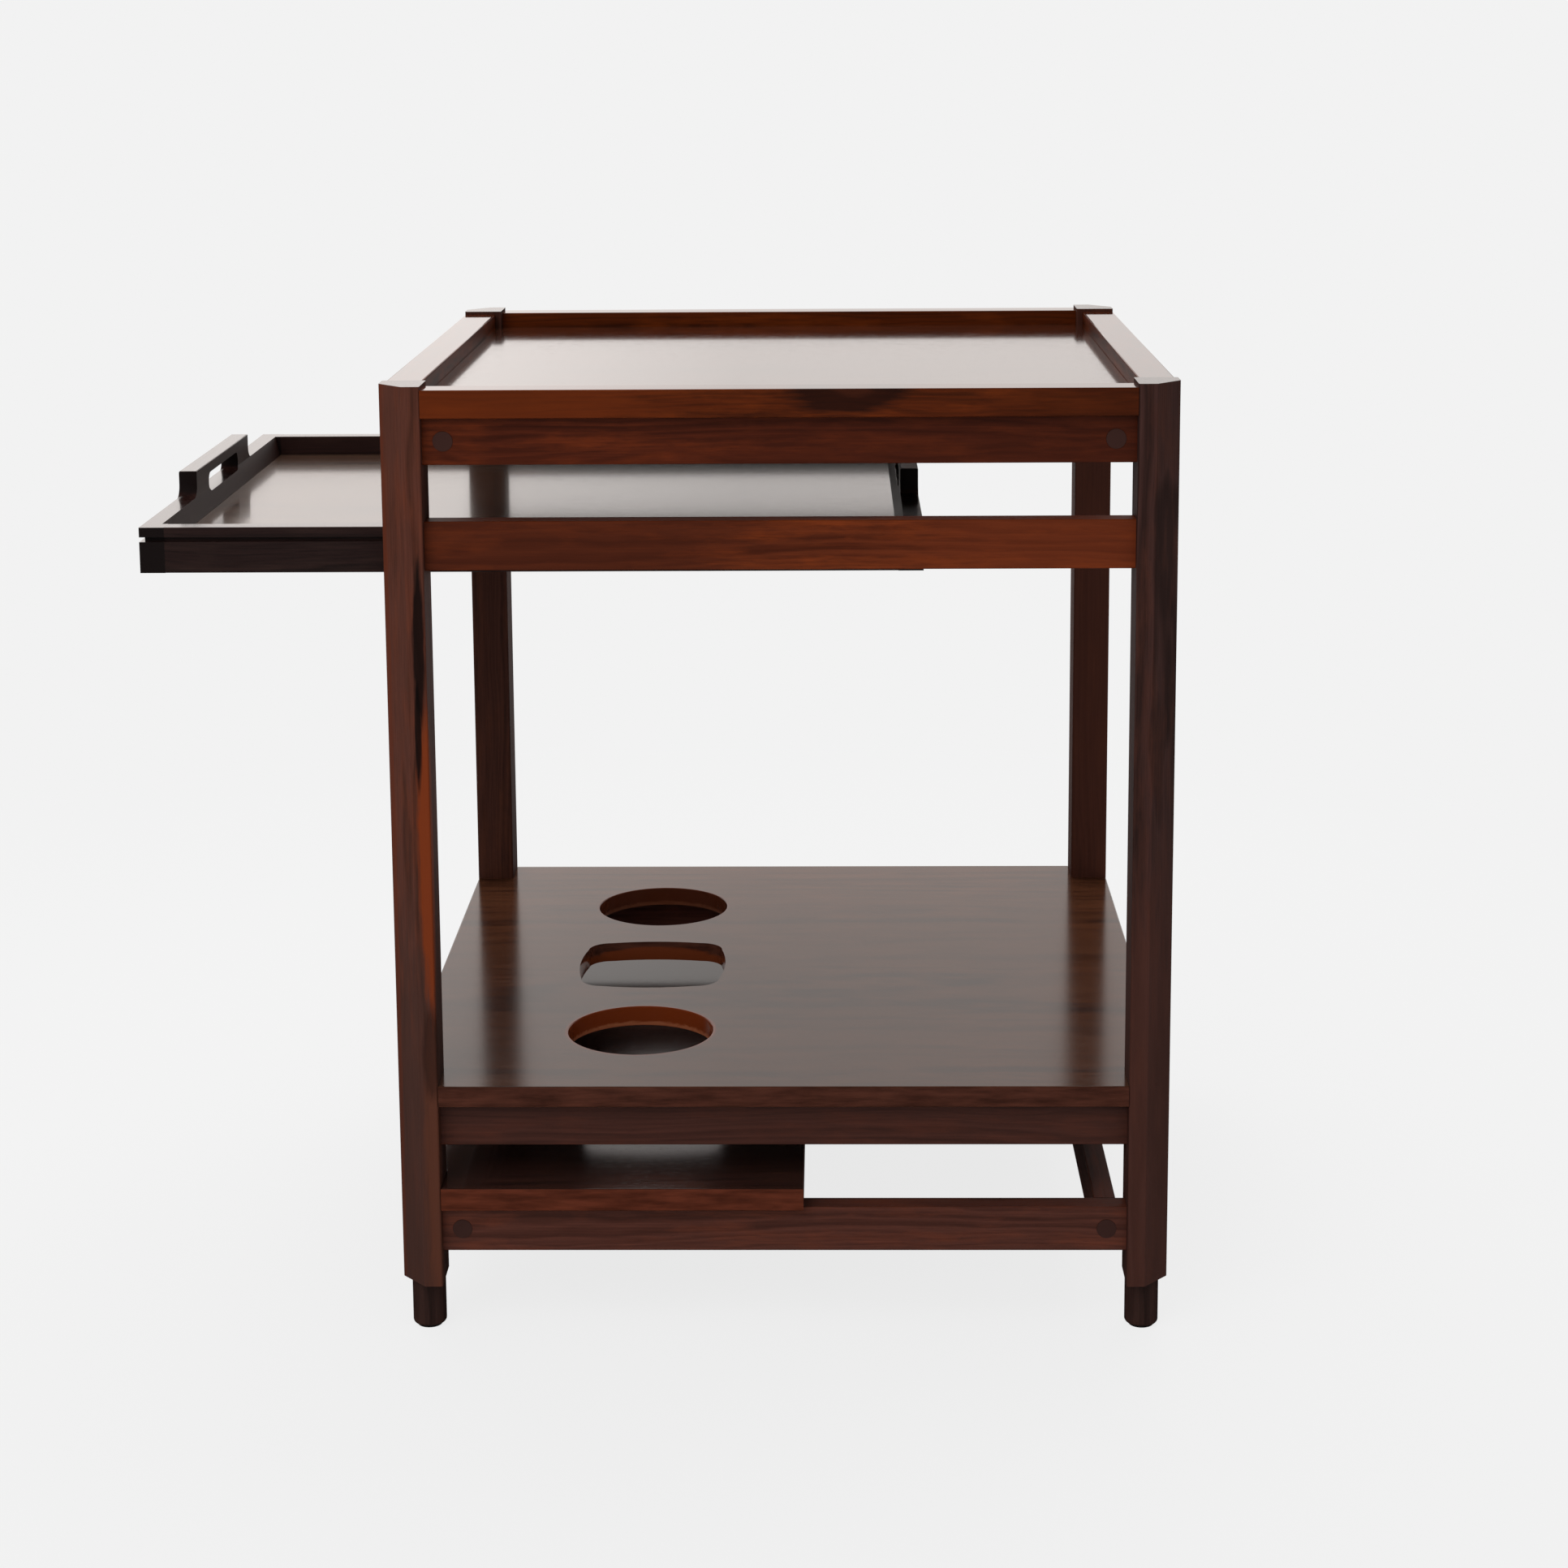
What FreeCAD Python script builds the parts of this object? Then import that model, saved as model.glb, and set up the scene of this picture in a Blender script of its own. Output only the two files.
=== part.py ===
import FreeCAD, Part
import os

import Sketcher

# Serving table with a tray that slides out to the left between the legs, a recessed top
# and a low shelf with wells for bottles. Lengths in millimetres, +Z up, the front towards -Y.
# The table is centred on X = table_x, so that the origin lies under the middle of the
# whole object with its tray drawn out.

DRIVING_SIZES = {
    "width": 560.0,  # overall width over the legs
    "depth": 570.0,  # overall depth over the legs
    "height": 698.5,  # height of the leg tops
    "tray_out": 178.0,  # how far the tray stands drawn out
    "leg_width": 31.0,  # leg size along X
    "leg_depth": 38.0,  # leg size along Y
    "leg_cut_x": 18.0,  # cut of a leg's outer corner along X
    "leg_cut_y": 20.0,  # cut of a leg's outer corner along Y
    "leg_base": 38.0,  # underside of the legs
    "leg_ease": 1.5,  # eased edge of a leg
    "edge_ease": 1.0,  # eased edge of rails and boards
    "joint_gap": 0.1,  # clearance of a fixed joint
    "slide_gap": 0.3,  # clearance of a sliding fit
    "overrun": 2.0,  # overrun of a cut
    "rail_thick": 18.0,  # rail thickness
    "side_rail_thick": 16.0,  # side rail thickness
    "rail_setback": 8.0,  # rail set-back behind the leg face
    "tenon_long": 16.0,  # rail tenon length
    "tenon_thick": 8.0,  # rail tenon thickness
    "tenon_shoulder": 6.0,  # tenon shoulder above and below
    "leg_proud": 2.5,  # leg tops above the rim
    "top_rail_tall": 33.5,  # top rail height
    "tray_gap": 40.0,  # gap between top rail and tray rail
    "tray_rail_tall": 35.0,  # tray rail height
    "low_rail_base": 62.5,  # low rail underside
    "low_rail_tall": 33.5,  # low rail height
    "apron_setback": 12.0,  # shelf apron set-back
    "apron_tall": 33.0,  # shelf apron height
    "side_rail_in": 14.5,  # side rail middle in from the inner face of the legs
    "stub_long": 8.0,  # stub tenon length of the shelf bearers
    "rim_wide": 26.0,  # rim width
    "rim_tall": 20.0,  # rim height
    "panel_thick": 8.0,  # top panel thickness
    "cleat_wide": 12.0,  # cleat width
    "shelf_top": 190.5,  # shelf upper face
    "shelf_thick": 15.5,  # shelf thickness
    "well_radius": 55.0,  # well radius
    "well_x": 110.0,  # well middle from the table middle, leftwards
    "well_pitch": 161.0,  # well spacing along Y
    "mid_well_deep": 112.0,  # middle well size along Y
    "mid_well_round": 18.0,  # middle well corner radius
    "mid_well_bulge": 4.0,  # middle well bulge of each side
    "platform_thick": 17.0,  # bottle platform thickness
    "platform_end": 14.5,  # bottle platform right edge from the table middle
    "plug_dia": 14.0,  # plug diameter
    "plug_thick": 5.0,  # plug thickness
    "plug_proud": 0.4,  # plug proud of the rail
    "screw_head_dia": 9.0,  # rail screw head diameter
    "screw_head_tall": 3.0,  # rail screw head height
    "screw_dia": 4.5,  # rail screw shank diameter
    "screw_long": 42.0,  # rail screw shank length
    "pin_head_dia": 7.0,  # runner screw head diameter
    "pin_head_tall": 2.5,  # runner screw head height
    "pin_dia": 3.5,  # runner screw shank diameter
    "pin_bite": 10.0,  # runner screw bite into the rail
    "pin_in": 49.0,  # outer runner screw in from the runner end
    "foot_dia": 24.5,  # foot diameter
    "foot_round": 3.0,  # foot edge round
    "foot_in_x": 18.0,  # foot middle in from the outer face along X
    "foot_in_y": 23.0,  # foot middle in from the front face along Y
    "spigot_dia": 10.0,  # foot spigot diameter
    "spigot_long": 24.0,  # foot spigot length
    "glide_dia": 18.0,  # glide diameter
    "glide_thick": 3.0,  # glide thickness
    "glide_proud": 1.5,  # glide below the foot
    "glide_pin_dia": 3.0,  # glide pin diameter
    "glide_pin_long": 12.0,  # glide pin length
    "runner_wide": 17.2,  # runner width from rail to tray
    "tray_hang": 7.5,  # tray underside below the tray rail
    "tray_tall": 33.0,  # tray board height
    "tray_side_thick": 16.0,  # tray side board thickness
    "tray_end_thick": 18.0,  # tray end board thickness
    "tray_end_taper": 4.5,  # slope of the end board's inner face
    "tray_floor_up": 17.5,  # tray floor upper face above the tray underside
    "tray_floor_thick": 5.0,  # tray floor thickness
    "tray_floor_in": 4.0,  # tray floor tongue into the boards
    "groove_tall": 3.4,  # tray groove height
    "groove_deep": 3.5,  # tray groove depth
    "groove_up": 22.5,  # tray groove underside above the tray underside
    "corner_tongue_long": 5.0,  # tray corner tongue length
    "corner_tongue_thick": 6.0,  # tray corner tongue thickness
    "handle_up": 19.5,  # handle height above the tray rim
    "handle_half": 102.0,  # half length of the handle
    "handle_round": 10.0,  # handle shoulder radius
    "slot_half": 58.0,  # finger slot half length
    "slot_tall": 14.5,  # finger slot height
    "slot_down": 3.0,  # finger slot underside below the tray rim
    "runner_tall": 14.0,  # runner height
}

DERIVED_SIZES = {
    "table_x": "tray_out / 2",
    "half_width": "width / 2",
    "half_depth": "depth / 2",
    "leg_in_x": "half_width - leg_width",
    "leg_in_y": "half_depth - leg_depth",
    "leg_tall": "height - leg_base",
    "pin_pitch": "leg_in_x - pin_in",
    "rail_out_y": "half_depth - rail_setback",
    "rail_in_y": "rail_out_y - rail_thick",
    "apron_out_y": "half_depth - apron_setback",
    "apron_in_y": "apron_out_y - rail_thick",
    "side_rail_x": "leg_in_x - side_rail_in",
    "rim_top": "height - leg_proud",
    "top_rail_top": "rim_top - rim_tall",
    "top_rail_base": "top_rail_top - top_rail_tall",
    "tray_rail_top": "top_rail_base - tray_gap",
    "tray_rail_base": "tray_rail_top - tray_rail_tall",
    "low_rail_top": "low_rail_base + low_rail_tall",
    "shelf_base": "shelf_top - shelf_thick",
    "apron_base": "shelf_base - apron_tall",
    "rim_in_x": "half_width - rim_wide",
    "rim_in_y": "half_depth - rim_wide",
    "panel_base": "top_rail_top",
    "top_plug_z": "(top_rail_base + panel_base) / 2",
    "low_plug_z": "low_rail_base + low_rail_tall / 2",
    "tray_x": "table_x - tray_out",
    "runner_face_y": "rail_in_y - runner_wide",
    "tray_half_y": "runner_face_y - slide_gap",
    "tray_deep": "2 * tray_half_y",
    "tray_base": "tray_rail_base - tray_hang",
    "tray_in_y": "tray_half_y - tray_side_thick",
    "tray_in_x": "half_width - tray_end_thick",
    "tray_rim": "tray_base + tray_tall",
    "handle_top": "tray_rim + handle_up",
    "tray_floor_top": "tray_base + tray_floor_up",
    "groove_base": "tray_base + groove_up",
    "runner_base": "groove_base + groove_tall / 2 - runner_tall / 2",
    "foot_x": "half_width - foot_in_x",
    "foot_y": "half_depth - foot_in_y",
}

doc = FreeCAD.newDocument("serving_table")
sheet = doc.addObject("Spreadsheet::Sheet", "Sizes")
nodes = []


def fill_sheet():
    """Writes the driving sizes as plain numbers and the derived ones as formulas."""
    row = 1
    for alias, value in DRIVING_SIZES.items():
        sheet.set(f"A{row}", alias.replace("_", " "))
        sheet.set(f"B{row}", str(value))
        sheet.setAlias(f"B{row}", alias)
        row += 1
    for alias, formula in DERIVED_SIZES.items():
        sheet.set(f"A{row}", alias.replace("_", " "))
        sheet.set(f"B{row}", "=" + formula)
        sheet.setAlias(f"B{row}", alias)
        row += 1
    doc.recompute()


ALIASES = set(DRIVING_SIZES) | set(DERIVED_SIZES)


def linked(formula):
    """Turns a formula in size names into an expression that reads the sheet."""
    text, word = "", ""
    for letter in str(formula) + " ":
        if letter.isalnum() or letter == "_":
            word += letter
            continue
        text += "Sizes." + word if word in ALIASES else word
        text += letter
        word = ""
    return text.strip()


def size(name):
    """Reads one size from the sheet as a number."""
    return float(sheet.get(name))


def new_body(name, on_tray=False):
    """Starts a sub-part, placed with the table or with the tray."""
    body = doc.addObject("PartDesign::Body", name)
    body.Label = name
    body.setExpression("Placement.Base.x", linked("tray_x" if on_tray else "table_x"))
    nodes.append(body)
    return body


def block(body, name, low, spans, cut=False):
    """Adds or cuts a box given by its lowest corner and its spans along X, Y and Z."""
    kind = "PartDesign::SubtractiveBox" if cut else "PartDesign::AdditiveBox"
    box = body.newObject(kind, name)
    for axis, formula in zip("xyz", low):
        box.setExpression("Placement.Base." + axis, linked(formula))
    for side, formula in zip(("Length", "Width", "Height"), spans):
        box.setExpression(side, linked(formula))
    return box


def spindle(body, name, base, radius, length, turn=None, cut=False):
    """Adds or cuts a cylinder from its base middle, along +Z or turned as told."""
    kind = "PartDesign::SubtractiveCylinder" if cut else "PartDesign::AdditiveCylinder"
    rod = body.newObject(kind, name)
    if turn is not None:
        rod.Placement = FreeCAD.Placement(FreeCAD.Vector(), turn)
    for axis, formula in zip("xyz", base):
        rod.setExpression("Placement.Base." + axis, linked(formula))
    rod.setExpression("Radius", linked(radius))
    rod.setExpression("Height", linked(length))
    return rod


def new_sketch(body, name, plane, offset):
    """Attaches a sketch to one of the body's origin planes, moved along its normal."""
    sketch = body.newObject("Sketcher::SketchObject", name)
    support = [f for f in body.Origin.OriginFeatures if f.Role == plane][0]
    sketch.AttachmentSupport = (support, "")
    sketch.MapMode = "FlatFace"
    sketch.setExpression("AttachmentOffset.Base.z", linked(offset))
    return sketch


def value_of(formula):
    """Works out a formula in size names as a number, for a sketch's first guess."""
    return float(sheet.evalExpression(linked(formula)))


def pin_point(sketch, curve, end, place):
    """Ties one end of a curve to its place, given as two formulas."""
    for kind, formula in zip(("DistanceX", "DistanceY"), place):
        tie = sketch.addConstraint(Sketcher.Constraint(kind, -1, 1, curve, end, value_of(formula)))
        sketch.setExpression(f"Constraints[{tie}]", linked(formula))


def outline(sketch, corners):
    """Draws a closed outline; a corner of two places makes an arc's middle and end."""
    spots = [FreeCAD.Vector(value_of(c[0][0]), value_of(c[0][1]), 0) for c in corners]
    count = len(corners)
    first = sketch.GeometryCount
    for i, corner in enumerate(corners):
        start, stop = spots[i], spots[(i + 1) % count]
        if len(corner) == 1:
            sketch.addGeometry(Part.LineSegment(start, stop), False)
        else:
            middle = FreeCAD.Vector(value_of(corner[1][0]), value_of(corner[1][1]), 0)
            sketch.addGeometry(Part.Arc(start, middle, stop), False)
    for i, corner in enumerate(corners):
        here, after = first + i, first + (i + 1) % count
        turned = arc_is_turned(sketch.Geometry[here], spots[i])
        later_turned = arc_is_turned(sketch.Geometry[after], spots[(i + 1) % count])
        end = 1 if turned else 2
        start_of_next = 2 if later_turned else 1
        sketch.addConstraint(Sketcher.Constraint("Coincident", here, end, after, start_of_next))
        pin_point(sketch, here, 2 if turned else 1, corner[0])
        if len(corner) > 1:
            radius = sketch.addConstraint(Sketcher.Constraint("Radius", here, sketch.Geometry[here].Radius))
            sketch.setExpression(f"Constraints[{radius}]", linked(corner[2]))


def arc_is_turned(curve, start):
    """Tells whether a curve's first end is not the corner that it was drawn from."""
    return curve.StartPoint.distanceToPoint(start) > curve.EndPoint.distanceToPoint(start)


def ring(sketch, middle, radius):
    """Draws a circle round a place."""
    spot = FreeCAD.Vector(value_of(middle[0]), value_of(middle[1]), 0)
    circle = sketch.addGeometry(Part.Circle(spot, FreeCAD.Vector(0, 0, 1), value_of(radius)), False)
    pin_point(sketch, circle, 3, middle)
    tie = sketch.addConstraint(Sketcher.Constraint("Radius", circle, value_of(radius)))
    sketch.setExpression(f"Constraints[{tie}]", linked(radius))


def pad(body, name, sketch, length):
    """Thickens a sketch along its plane's normal."""
    feature = body.newObject("PartDesign::Pad", name)
    feature.Profile = sketch
    feature.setExpression("Length", linked(length))
    sketch.Visibility = False
    return feature


def pocket(body, name, sketch, length):
    """Cuts a sketch away against its plane's normal."""
    feature = body.newObject("PartDesign::Pocket", name)
    feature.Profile = sketch
    feature.setExpression("Length", linked(length))
    sketch.Visibility = False
    return feature


def ease(body, name, radius, wanted):
    """Rounds the edges of the body's last feature that the test picks."""
    doc.recompute()
    last = body.Tip
    picked = [f"Edge{i + 1}" for i, edge in enumerate(last.Shape.Edges) if wanted(edge)]
    feature = body.newObject("PartDesign::Fillet", name)
    feature.Base = (last, picked)
    feature.setExpression("Radius", linked(radius))
    return feature


def runs_along(edge, axis):
    """Tells whether an edge is straight and lies along an axis."""
    ends = [v.Point for v in edge.Vertexes]
    if len(ends) != 2 or edge.Curve.TypeId != "Part::GeomLine":
        return False
    way = ends[1] - ends[0]
    return abs(way.dot(axis)) > way.Length * (1 - 1e-6)


X_AXIS = FreeCAD.Vector(1, 0, 0)
Y_AXIS = FreeCAD.Vector(0, 1, 0)
Z_AXIS = FreeCAD.Vector(0, 0, 1)
FRONT_BACK = (("front", -1), ("back", 1))
LEFT_RIGHT = (("left", -1), ("right", 1))
TOWARDS_BACK = FreeCAD.Rotation(X_AXIS, -90)
TOWARDS_FRONT = FreeCAD.Rotation(X_AXIS, 90)
ALONG_X = FreeCAD.Rotation(Y_AXIS, 90)


def away(side):
    """Gives the turn that sends a cylinder from a front or back face into the table."""
    return TOWARDS_BACK if side < 0 else TOWARDS_FRONT


def low_of(side, near, far):
    """Gives the lower of two places that lie on one side of the table's middle."""
    return f"-({far})" if side < 0 else near


# Rail levels: name, underside, height and inner face.
RAIL_LEVELS = (
    ("top_rail", "top_rail_base", "top_rail_tall", "rail_in_y"),
    ("tray_rail", "tray_rail_base", "tray_rail_tall", "rail_in_y"),
    ("shelf_apron", "apron_base", "apron_tall", "apron_in_y"),
    ("low_rail", "low_rail_base", "low_rail_tall", "rail_in_y"),
)


def make_leg(front_name, fy, side_name, sx):
    """Makes one leg: a post with its outer corner cut off, mortises and a foot bore."""
    body = new_body(f"leg_{front_name}_{side_name}")
    plan = new_sketch(body, f"{body.Name}_plan", "XY_Plane", "leg_base")
    corners = [
        (f"{sx} * (half_width - leg_cut_x)", f"{fy} * half_depth"),
        (f"{sx} * leg_in_x", f"{fy} * half_depth"),
        (f"{sx} * leg_in_x", f"{fy} * leg_in_y"),
        (f"{sx} * half_width", f"{fy} * leg_in_y"),
        (f"{sx} * half_width", f"{fy} * (half_depth - leg_cut_y)"),
    ]
    outline(plan, [[c] for c in corners])
    pad(body, f"{body.Name}_post", plan, "leg_tall")
    ease(body, f"{body.Name}_eased", "leg_ease", lambda edge: runs_along(edge, Z_AXIS))
    for rail, base, tall, inner in RAIL_LEVELS:
        middle = f"{inner} + rail_thick / 2"
        near, far = f"{middle} - tenon_thick / 2 - joint_gap", f"{middle} + tenon_thick / 2 + joint_gap"
        low = (
            low_of(sx, "leg_in_x - overrun", "leg_in_x + tenon_long + joint_gap"),
            low_of(fy, near, far),
            f"{base} + tenon_shoulder - joint_gap",
        )
        spans = (
            "tenon_long + joint_gap + overrun",
            "tenon_thick + 2 * joint_gap",
            f"{tall} - 2 * tenon_shoulder + 2 * joint_gap",
        )
        block(body, f"{body.Name}_{rail}_mortise", low, spans, cut=True)
    spindle(
        body, f"{body.Name}_foot_bore", (f"{sx} * foot_x", f"{fy} * foot_y", "leg_base - overrun"),
        "spigot_dia / 2 + joint_gap", "spigot_long + joint_gap + overrun", cut=True,
    )


def make_rail(rail, base, tall, inner, front_name, fy):
    """Makes one rail between two legs, with a tenon through its whole length."""
    body = new_body(f"{rail}_{front_name}")
    low = ("-leg_in_x", low_of(fy, inner, f"{inner} + rail_thick"), base)
    block(body, f"{body.Name}_board", low, ("2 * leg_in_x", "rail_thick", tall))
    ease(body, f"{body.Name}_eased", "edge_ease", lambda edge: runs_along(edge, X_AXIS))
    middle = f"{inner} + rail_thick / 2"
    tenon_low = (
        "-leg_in_x - tenon_long",
        low_of(fy, f"{middle} - tenon_thick / 2", f"{middle} + tenon_thick / 2"),
        f"{base} + tenon_shoulder",
    )
    spans = ("2 * leg_in_x + 2 * tenon_long", "tenon_thick", f"{tall} - 2 * tenon_shoulder")
    block(body, f"{body.Name}_tenons", tenon_low, spans)
    return body


def bore_for_side_rails(body, fy, level):
    """Cuts the plug seats and screw holes over the ends of the side rails."""
    for side_name, sx in LEFT_RIGHT:
        x = f"{sx} * side_rail_x"
        spindle(
            body, f"{body.Name}_{side_name}_seat", (x, f"{fy} * (rail_out_y + overrun)", level),
            "plug_dia / 2 + joint_gap", "plug_thick - plug_proud + screw_head_tall + joint_gap + overrun",
            away(fy), cut=True,
        )
        spindle(
            body, f"{body.Name}_{side_name}_hole", (x, f"{fy} * (rail_out_y + overrun)", level),
            "screw_dia / 2 + joint_gap", "rail_thick + 2 * overrun", away(fy), cut=True,
        )


def make_rails():
    """Makes the front and back rails of every level."""
    for rail, base, tall, inner in RAIL_LEVELS:
        for front_name, fy in FRONT_BACK:
            body = make_rail(rail, base, tall, inner, front_name, fy)
            if rail == "top_rail":
                bore_for_side_rails(body, fy, "top_plug_z")
            if rail == "low_rail":
                bore_for_side_rails(body, fy, "low_plug_z")
            if rail == "tray_rail":
                bore_for_runner(body, fy)
            if rail == "shelf_apron":
                cut_bearer_mortises(body, fy)


def bore_for_runner(body, fy):
    """Cuts the pilot holes of the runner's screws into a tray rail."""
    for step in (-1, 0, 1):
        spindle(
            body, f"{body.Name}_pilot_{step + 2}",
            (f"{step} * pin_pitch", f"{fy} * (rail_in_y - overrun)", "groove_base + groove_tall / 2"),
            "pin_dia / 2 + joint_gap", "pin_bite + joint_gap + overrun", away(-fy), cut=True,
        )


def cut_bearer_mortises(body, fy):
    """Cuts the seats of the shelf bearers' stub tenons into a shelf apron."""
    for side_name, sx in LEFT_RIGHT:
        low = (
            f"{sx} * side_rail_x - tenon_thick / 2 - joint_gap",
            low_of(fy, "apron_in_y - overrun", "apron_in_y + stub_long + joint_gap"),
            "apron_base + tenon_shoulder - joint_gap",
        )
        spans = (
            "tenon_thick + 2 * joint_gap",
            "stub_long + joint_gap + overrun",
            "apron_tall - 2 * tenon_shoulder + 2 * joint_gap",
        )
        block(body, f"{body.Name}_{side_name}_mortise", low, spans, cut=True)


def make_side_rail(name, side_name, sx, base, tall, reach, level):
    """Makes one side rail between the front and back rails, bored for a screw at each end."""
    body = new_body(f"{name}_{side_name}")
    low = (f"{sx} * side_rail_x - side_rail_thick / 2", f"-({reach})", base)
    block(body, f"{body.Name}_board", low, ("side_rail_thick", f"2 * ({reach})", tall))
    ease(body, f"{body.Name}_eased", "edge_ease", lambda edge: runs_along(edge, Y_AXIS))
    if level is None:
        low = (f"{sx} * side_rail_x - tenon_thick / 2", f"-({reach} + stub_long)", f"{base} + tenon_shoulder")
        spans = ("tenon_thick", f"2 * ({reach} + stub_long)", f"{tall} - 2 * tenon_shoulder")
        block(body, f"{body.Name}_stubs", low, spans)
        return
    for front_name, fy in FRONT_BACK:
        place = (f"{sx} * side_rail_x", f"{fy} * (rail_in_y + overrun)", level)
        spindle(
            body, f"{body.Name}_{front_name}_pilot", place,
            "screw_dia / 2 + joint_gap", "screw_long + overrun", away(fy), cut=True,
        )


def make_side_rails():
    """Makes the side rails under the top, under the shelf and at the feet."""
    levels = (
        ("top_side_rail", "top_rail_base", "top_rail_tall", "rail_in_y", "top_plug_z"),
        ("shelf_bearer", "apron_base", "apron_tall", "apron_in_y", None),
        ("low_side_rail", "low_rail_base", "low_rail_tall", "rail_in_y", "low_plug_z"),
    )
    for name, base, tall, reach, level in levels:
        for side_name, sx in LEFT_RIGHT:
            make_side_rail(name, side_name, sx, base, tall, reach, level)


def make_rail_fasteners():
    """Makes the screws that hold the side rails, and the wooden plugs over their heads."""
    screws = new_body("rail_screws")
    plugs = new_body("rail_plugs")
    for level_name, level in (("top", "top_plug_z"), ("low", "low_plug_z")):
        for front_name, fy in FRONT_BACK:
            for side_name, sx in LEFT_RIGHT:
                tag = f"{level_name}_{front_name}_{side_name}"
                x = f"{sx} * side_rail_x"
                face = "(rail_out_y + plug_proud - plug_thick)"
                spindle(
                    plugs, f"plug_{tag}", (x, f"{fy} * (rail_out_y + plug_proud)", level),
                    "plug_dia / 2", "plug_thick", away(fy),
                )
                spindle(
                    screws, f"screw_head_{tag}", (x, f"{fy} * {face}", level),
                    "screw_head_dia / 2", "screw_head_tall", away(fy),
                )
                spindle(
                    screws, f"screw_shank_{tag}", (x, f"{fy} * {face}", level),
                    "screw_dia / 2", "screw_long", away(fy),
                )


def make_rims():
    """Makes the four rim boards round the recessed top."""
    for front_name, fy in FRONT_BACK:
        body = new_body(f"rim_{front_name}")
        low = ("-leg_in_x", low_of(fy, "rim_in_y", "half_depth"), "top_rail_top")
        block(body, f"{body.Name}_board", low, ("2 * leg_in_x", "rim_wide", "rim_tall"))
        ease(body, f"{body.Name}_eased", "edge_ease", lambda edge: runs_along(edge, X_AXIS))
    for side_name, sx in LEFT_RIGHT:
        body = new_body(f"rim_{side_name}")
        low = (low_of(sx, "rim_in_x", "half_width"), "-leg_in_y", "top_rail_top")
        block(body, f"{body.Name}_board", low, ("rim_wide", "2 * leg_in_y", "rim_tall"))
        ease(body, f"{body.Name}_eased", "edge_ease", lambda edge: runs_along(edge, Y_AXIS))


def notched_corners(reach_x, reach_y):
    """Gives the outline of a panel notched round the four legs."""
    slot_x, slot_y = "(leg_in_x - joint_gap)", "(leg_in_y - joint_gap)"
    corners = []
    for sx, sy in ((-1, -1), (1, -1), (1, 1), (-1, 1)):
        along = (f"{sx} * {slot_x}", f"{sy} * {reach_y}")
        inner = (f"{sx} * {slot_x}", f"{sy} * {slot_y}")
        across = (f"{sx} * {reach_x}", f"{sy} * {slot_y}")
        corners += [across, inner, along] if sx * sy > 0 else [along, inner, across]
    return [[c] for c in corners]


def make_top_panel():
    """Makes the panel of the recessed top and the cleats that carry its long edges."""
    body = new_body("top_panel")
    plan = new_sketch(body, "top_panel_plan", "XY_Plane", "panel_base")
    outline(plan, notched_corners("(rim_in_x - joint_gap)", "(rim_in_y - joint_gap)"))
    pad(body, "top_panel_board", plan, "panel_thick")
    for front_name, fy in FRONT_BACK:
        cleat = new_body(f"panel_cleat_{front_name}")
        low = (
            "-(side_rail_x - side_rail_thick / 2)",
            low_of(fy, "rail_in_y - cleat_wide", "rail_in_y"),
            "panel_base - cleat_wide",
        )
        spans = ("2 * side_rail_x - side_rail_thick", "cleat_wide", "cleat_wide")
        block(cleat, f"{cleat.Name}_strip", low, spans)
        ease(cleat, f"{cleat.Name}_eased", "edge_ease", lambda edge: runs_along(edge, X_AXIS))


def middle_well():
    """Gives the outline of the middle well: four bowed sides and rounded corners."""
    left, right = "(-well_x - well_radius)", "(-well_x + well_radius)"
    half, turn, bow = "(mid_well_deep / 2)", "mid_well_round", "mid_well_bulge"
    long_x, long_y = f"(well_radius - {turn})", f"({half} - {turn})"
    bow_x = f"({long_x}^2 + {bow}^2) / (2 * {bow})"
    bow_y = f"({long_y}^2 + {bow}^2) / (2 * {bow})"
    knee_share = "(1 - sqrt(0.5))"
    knee_left, knee_right = f"{left} + {turn} * {knee_share}", f"{right} - {turn} * {knee_share}"
    knee_front, knee_back = f"-{half} + {turn} * {knee_share}", f"{half} - {turn} * {knee_share}"
    return [
        [(f"{left} + {turn}", f"-{half}"), ("-well_x", f"-{half} - {bow}"), bow_x],
        [(f"{right} - {turn}", f"-{half}"), (knee_right, knee_front), turn],
        [(right, f"-{half} + {turn}"), (f"{right} + {bow}", "0"), bow_y],
        [(right, f"{half} - {turn}"), (knee_right, knee_back), turn],
        [(f"{right} - {turn}", half), ("-well_x", f"{half} + {bow}"), bow_x],
        [(f"{left} + {turn}", half), (knee_left, knee_back), turn],
        [(left, f"{half} - {turn}"), (f"{left} - {bow}", "0"), bow_y],
        [(left, f"-{half} + {turn}"), (knee_left, knee_front), turn],
    ]


def make_shelf():
    """Makes the shelf, notched round the legs, with two round wells and a middle one."""
    body = new_body("shelf_panel")
    plan = new_sketch(body, "shelf_plan", "XY_Plane", "shelf_base")
    outline(plan, notched_corners("half_width", "half_depth"))
    ring(plan, ("-well_x", "-well_pitch"), "well_radius")
    ring(plan, ("-well_x", "well_pitch"), "well_radius")
    outline(plan, middle_well())
    pad(body, "shelf_board", plan, "shelf_thick")
    ease(body, "shelf_eased", "edge_ease", is_shelf_rim)


def is_shelf_rim(edge):
    """Tells whether an edge bounds the shelf's outer sides or a round well."""
    if edge.Curve.TypeId == "Part::GeomCircle":
        return edge.Closed
    middle, near = edge.CenterOfMass, size("joint_gap") / 2
    on_side = abs(abs(middle.x) - size("half_width")) < near and runs_along(edge, Y_AXIS)
    return on_side or (abs(abs(middle.y) - size("half_depth")) < near and runs_along(edge, X_AXIS))


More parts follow.
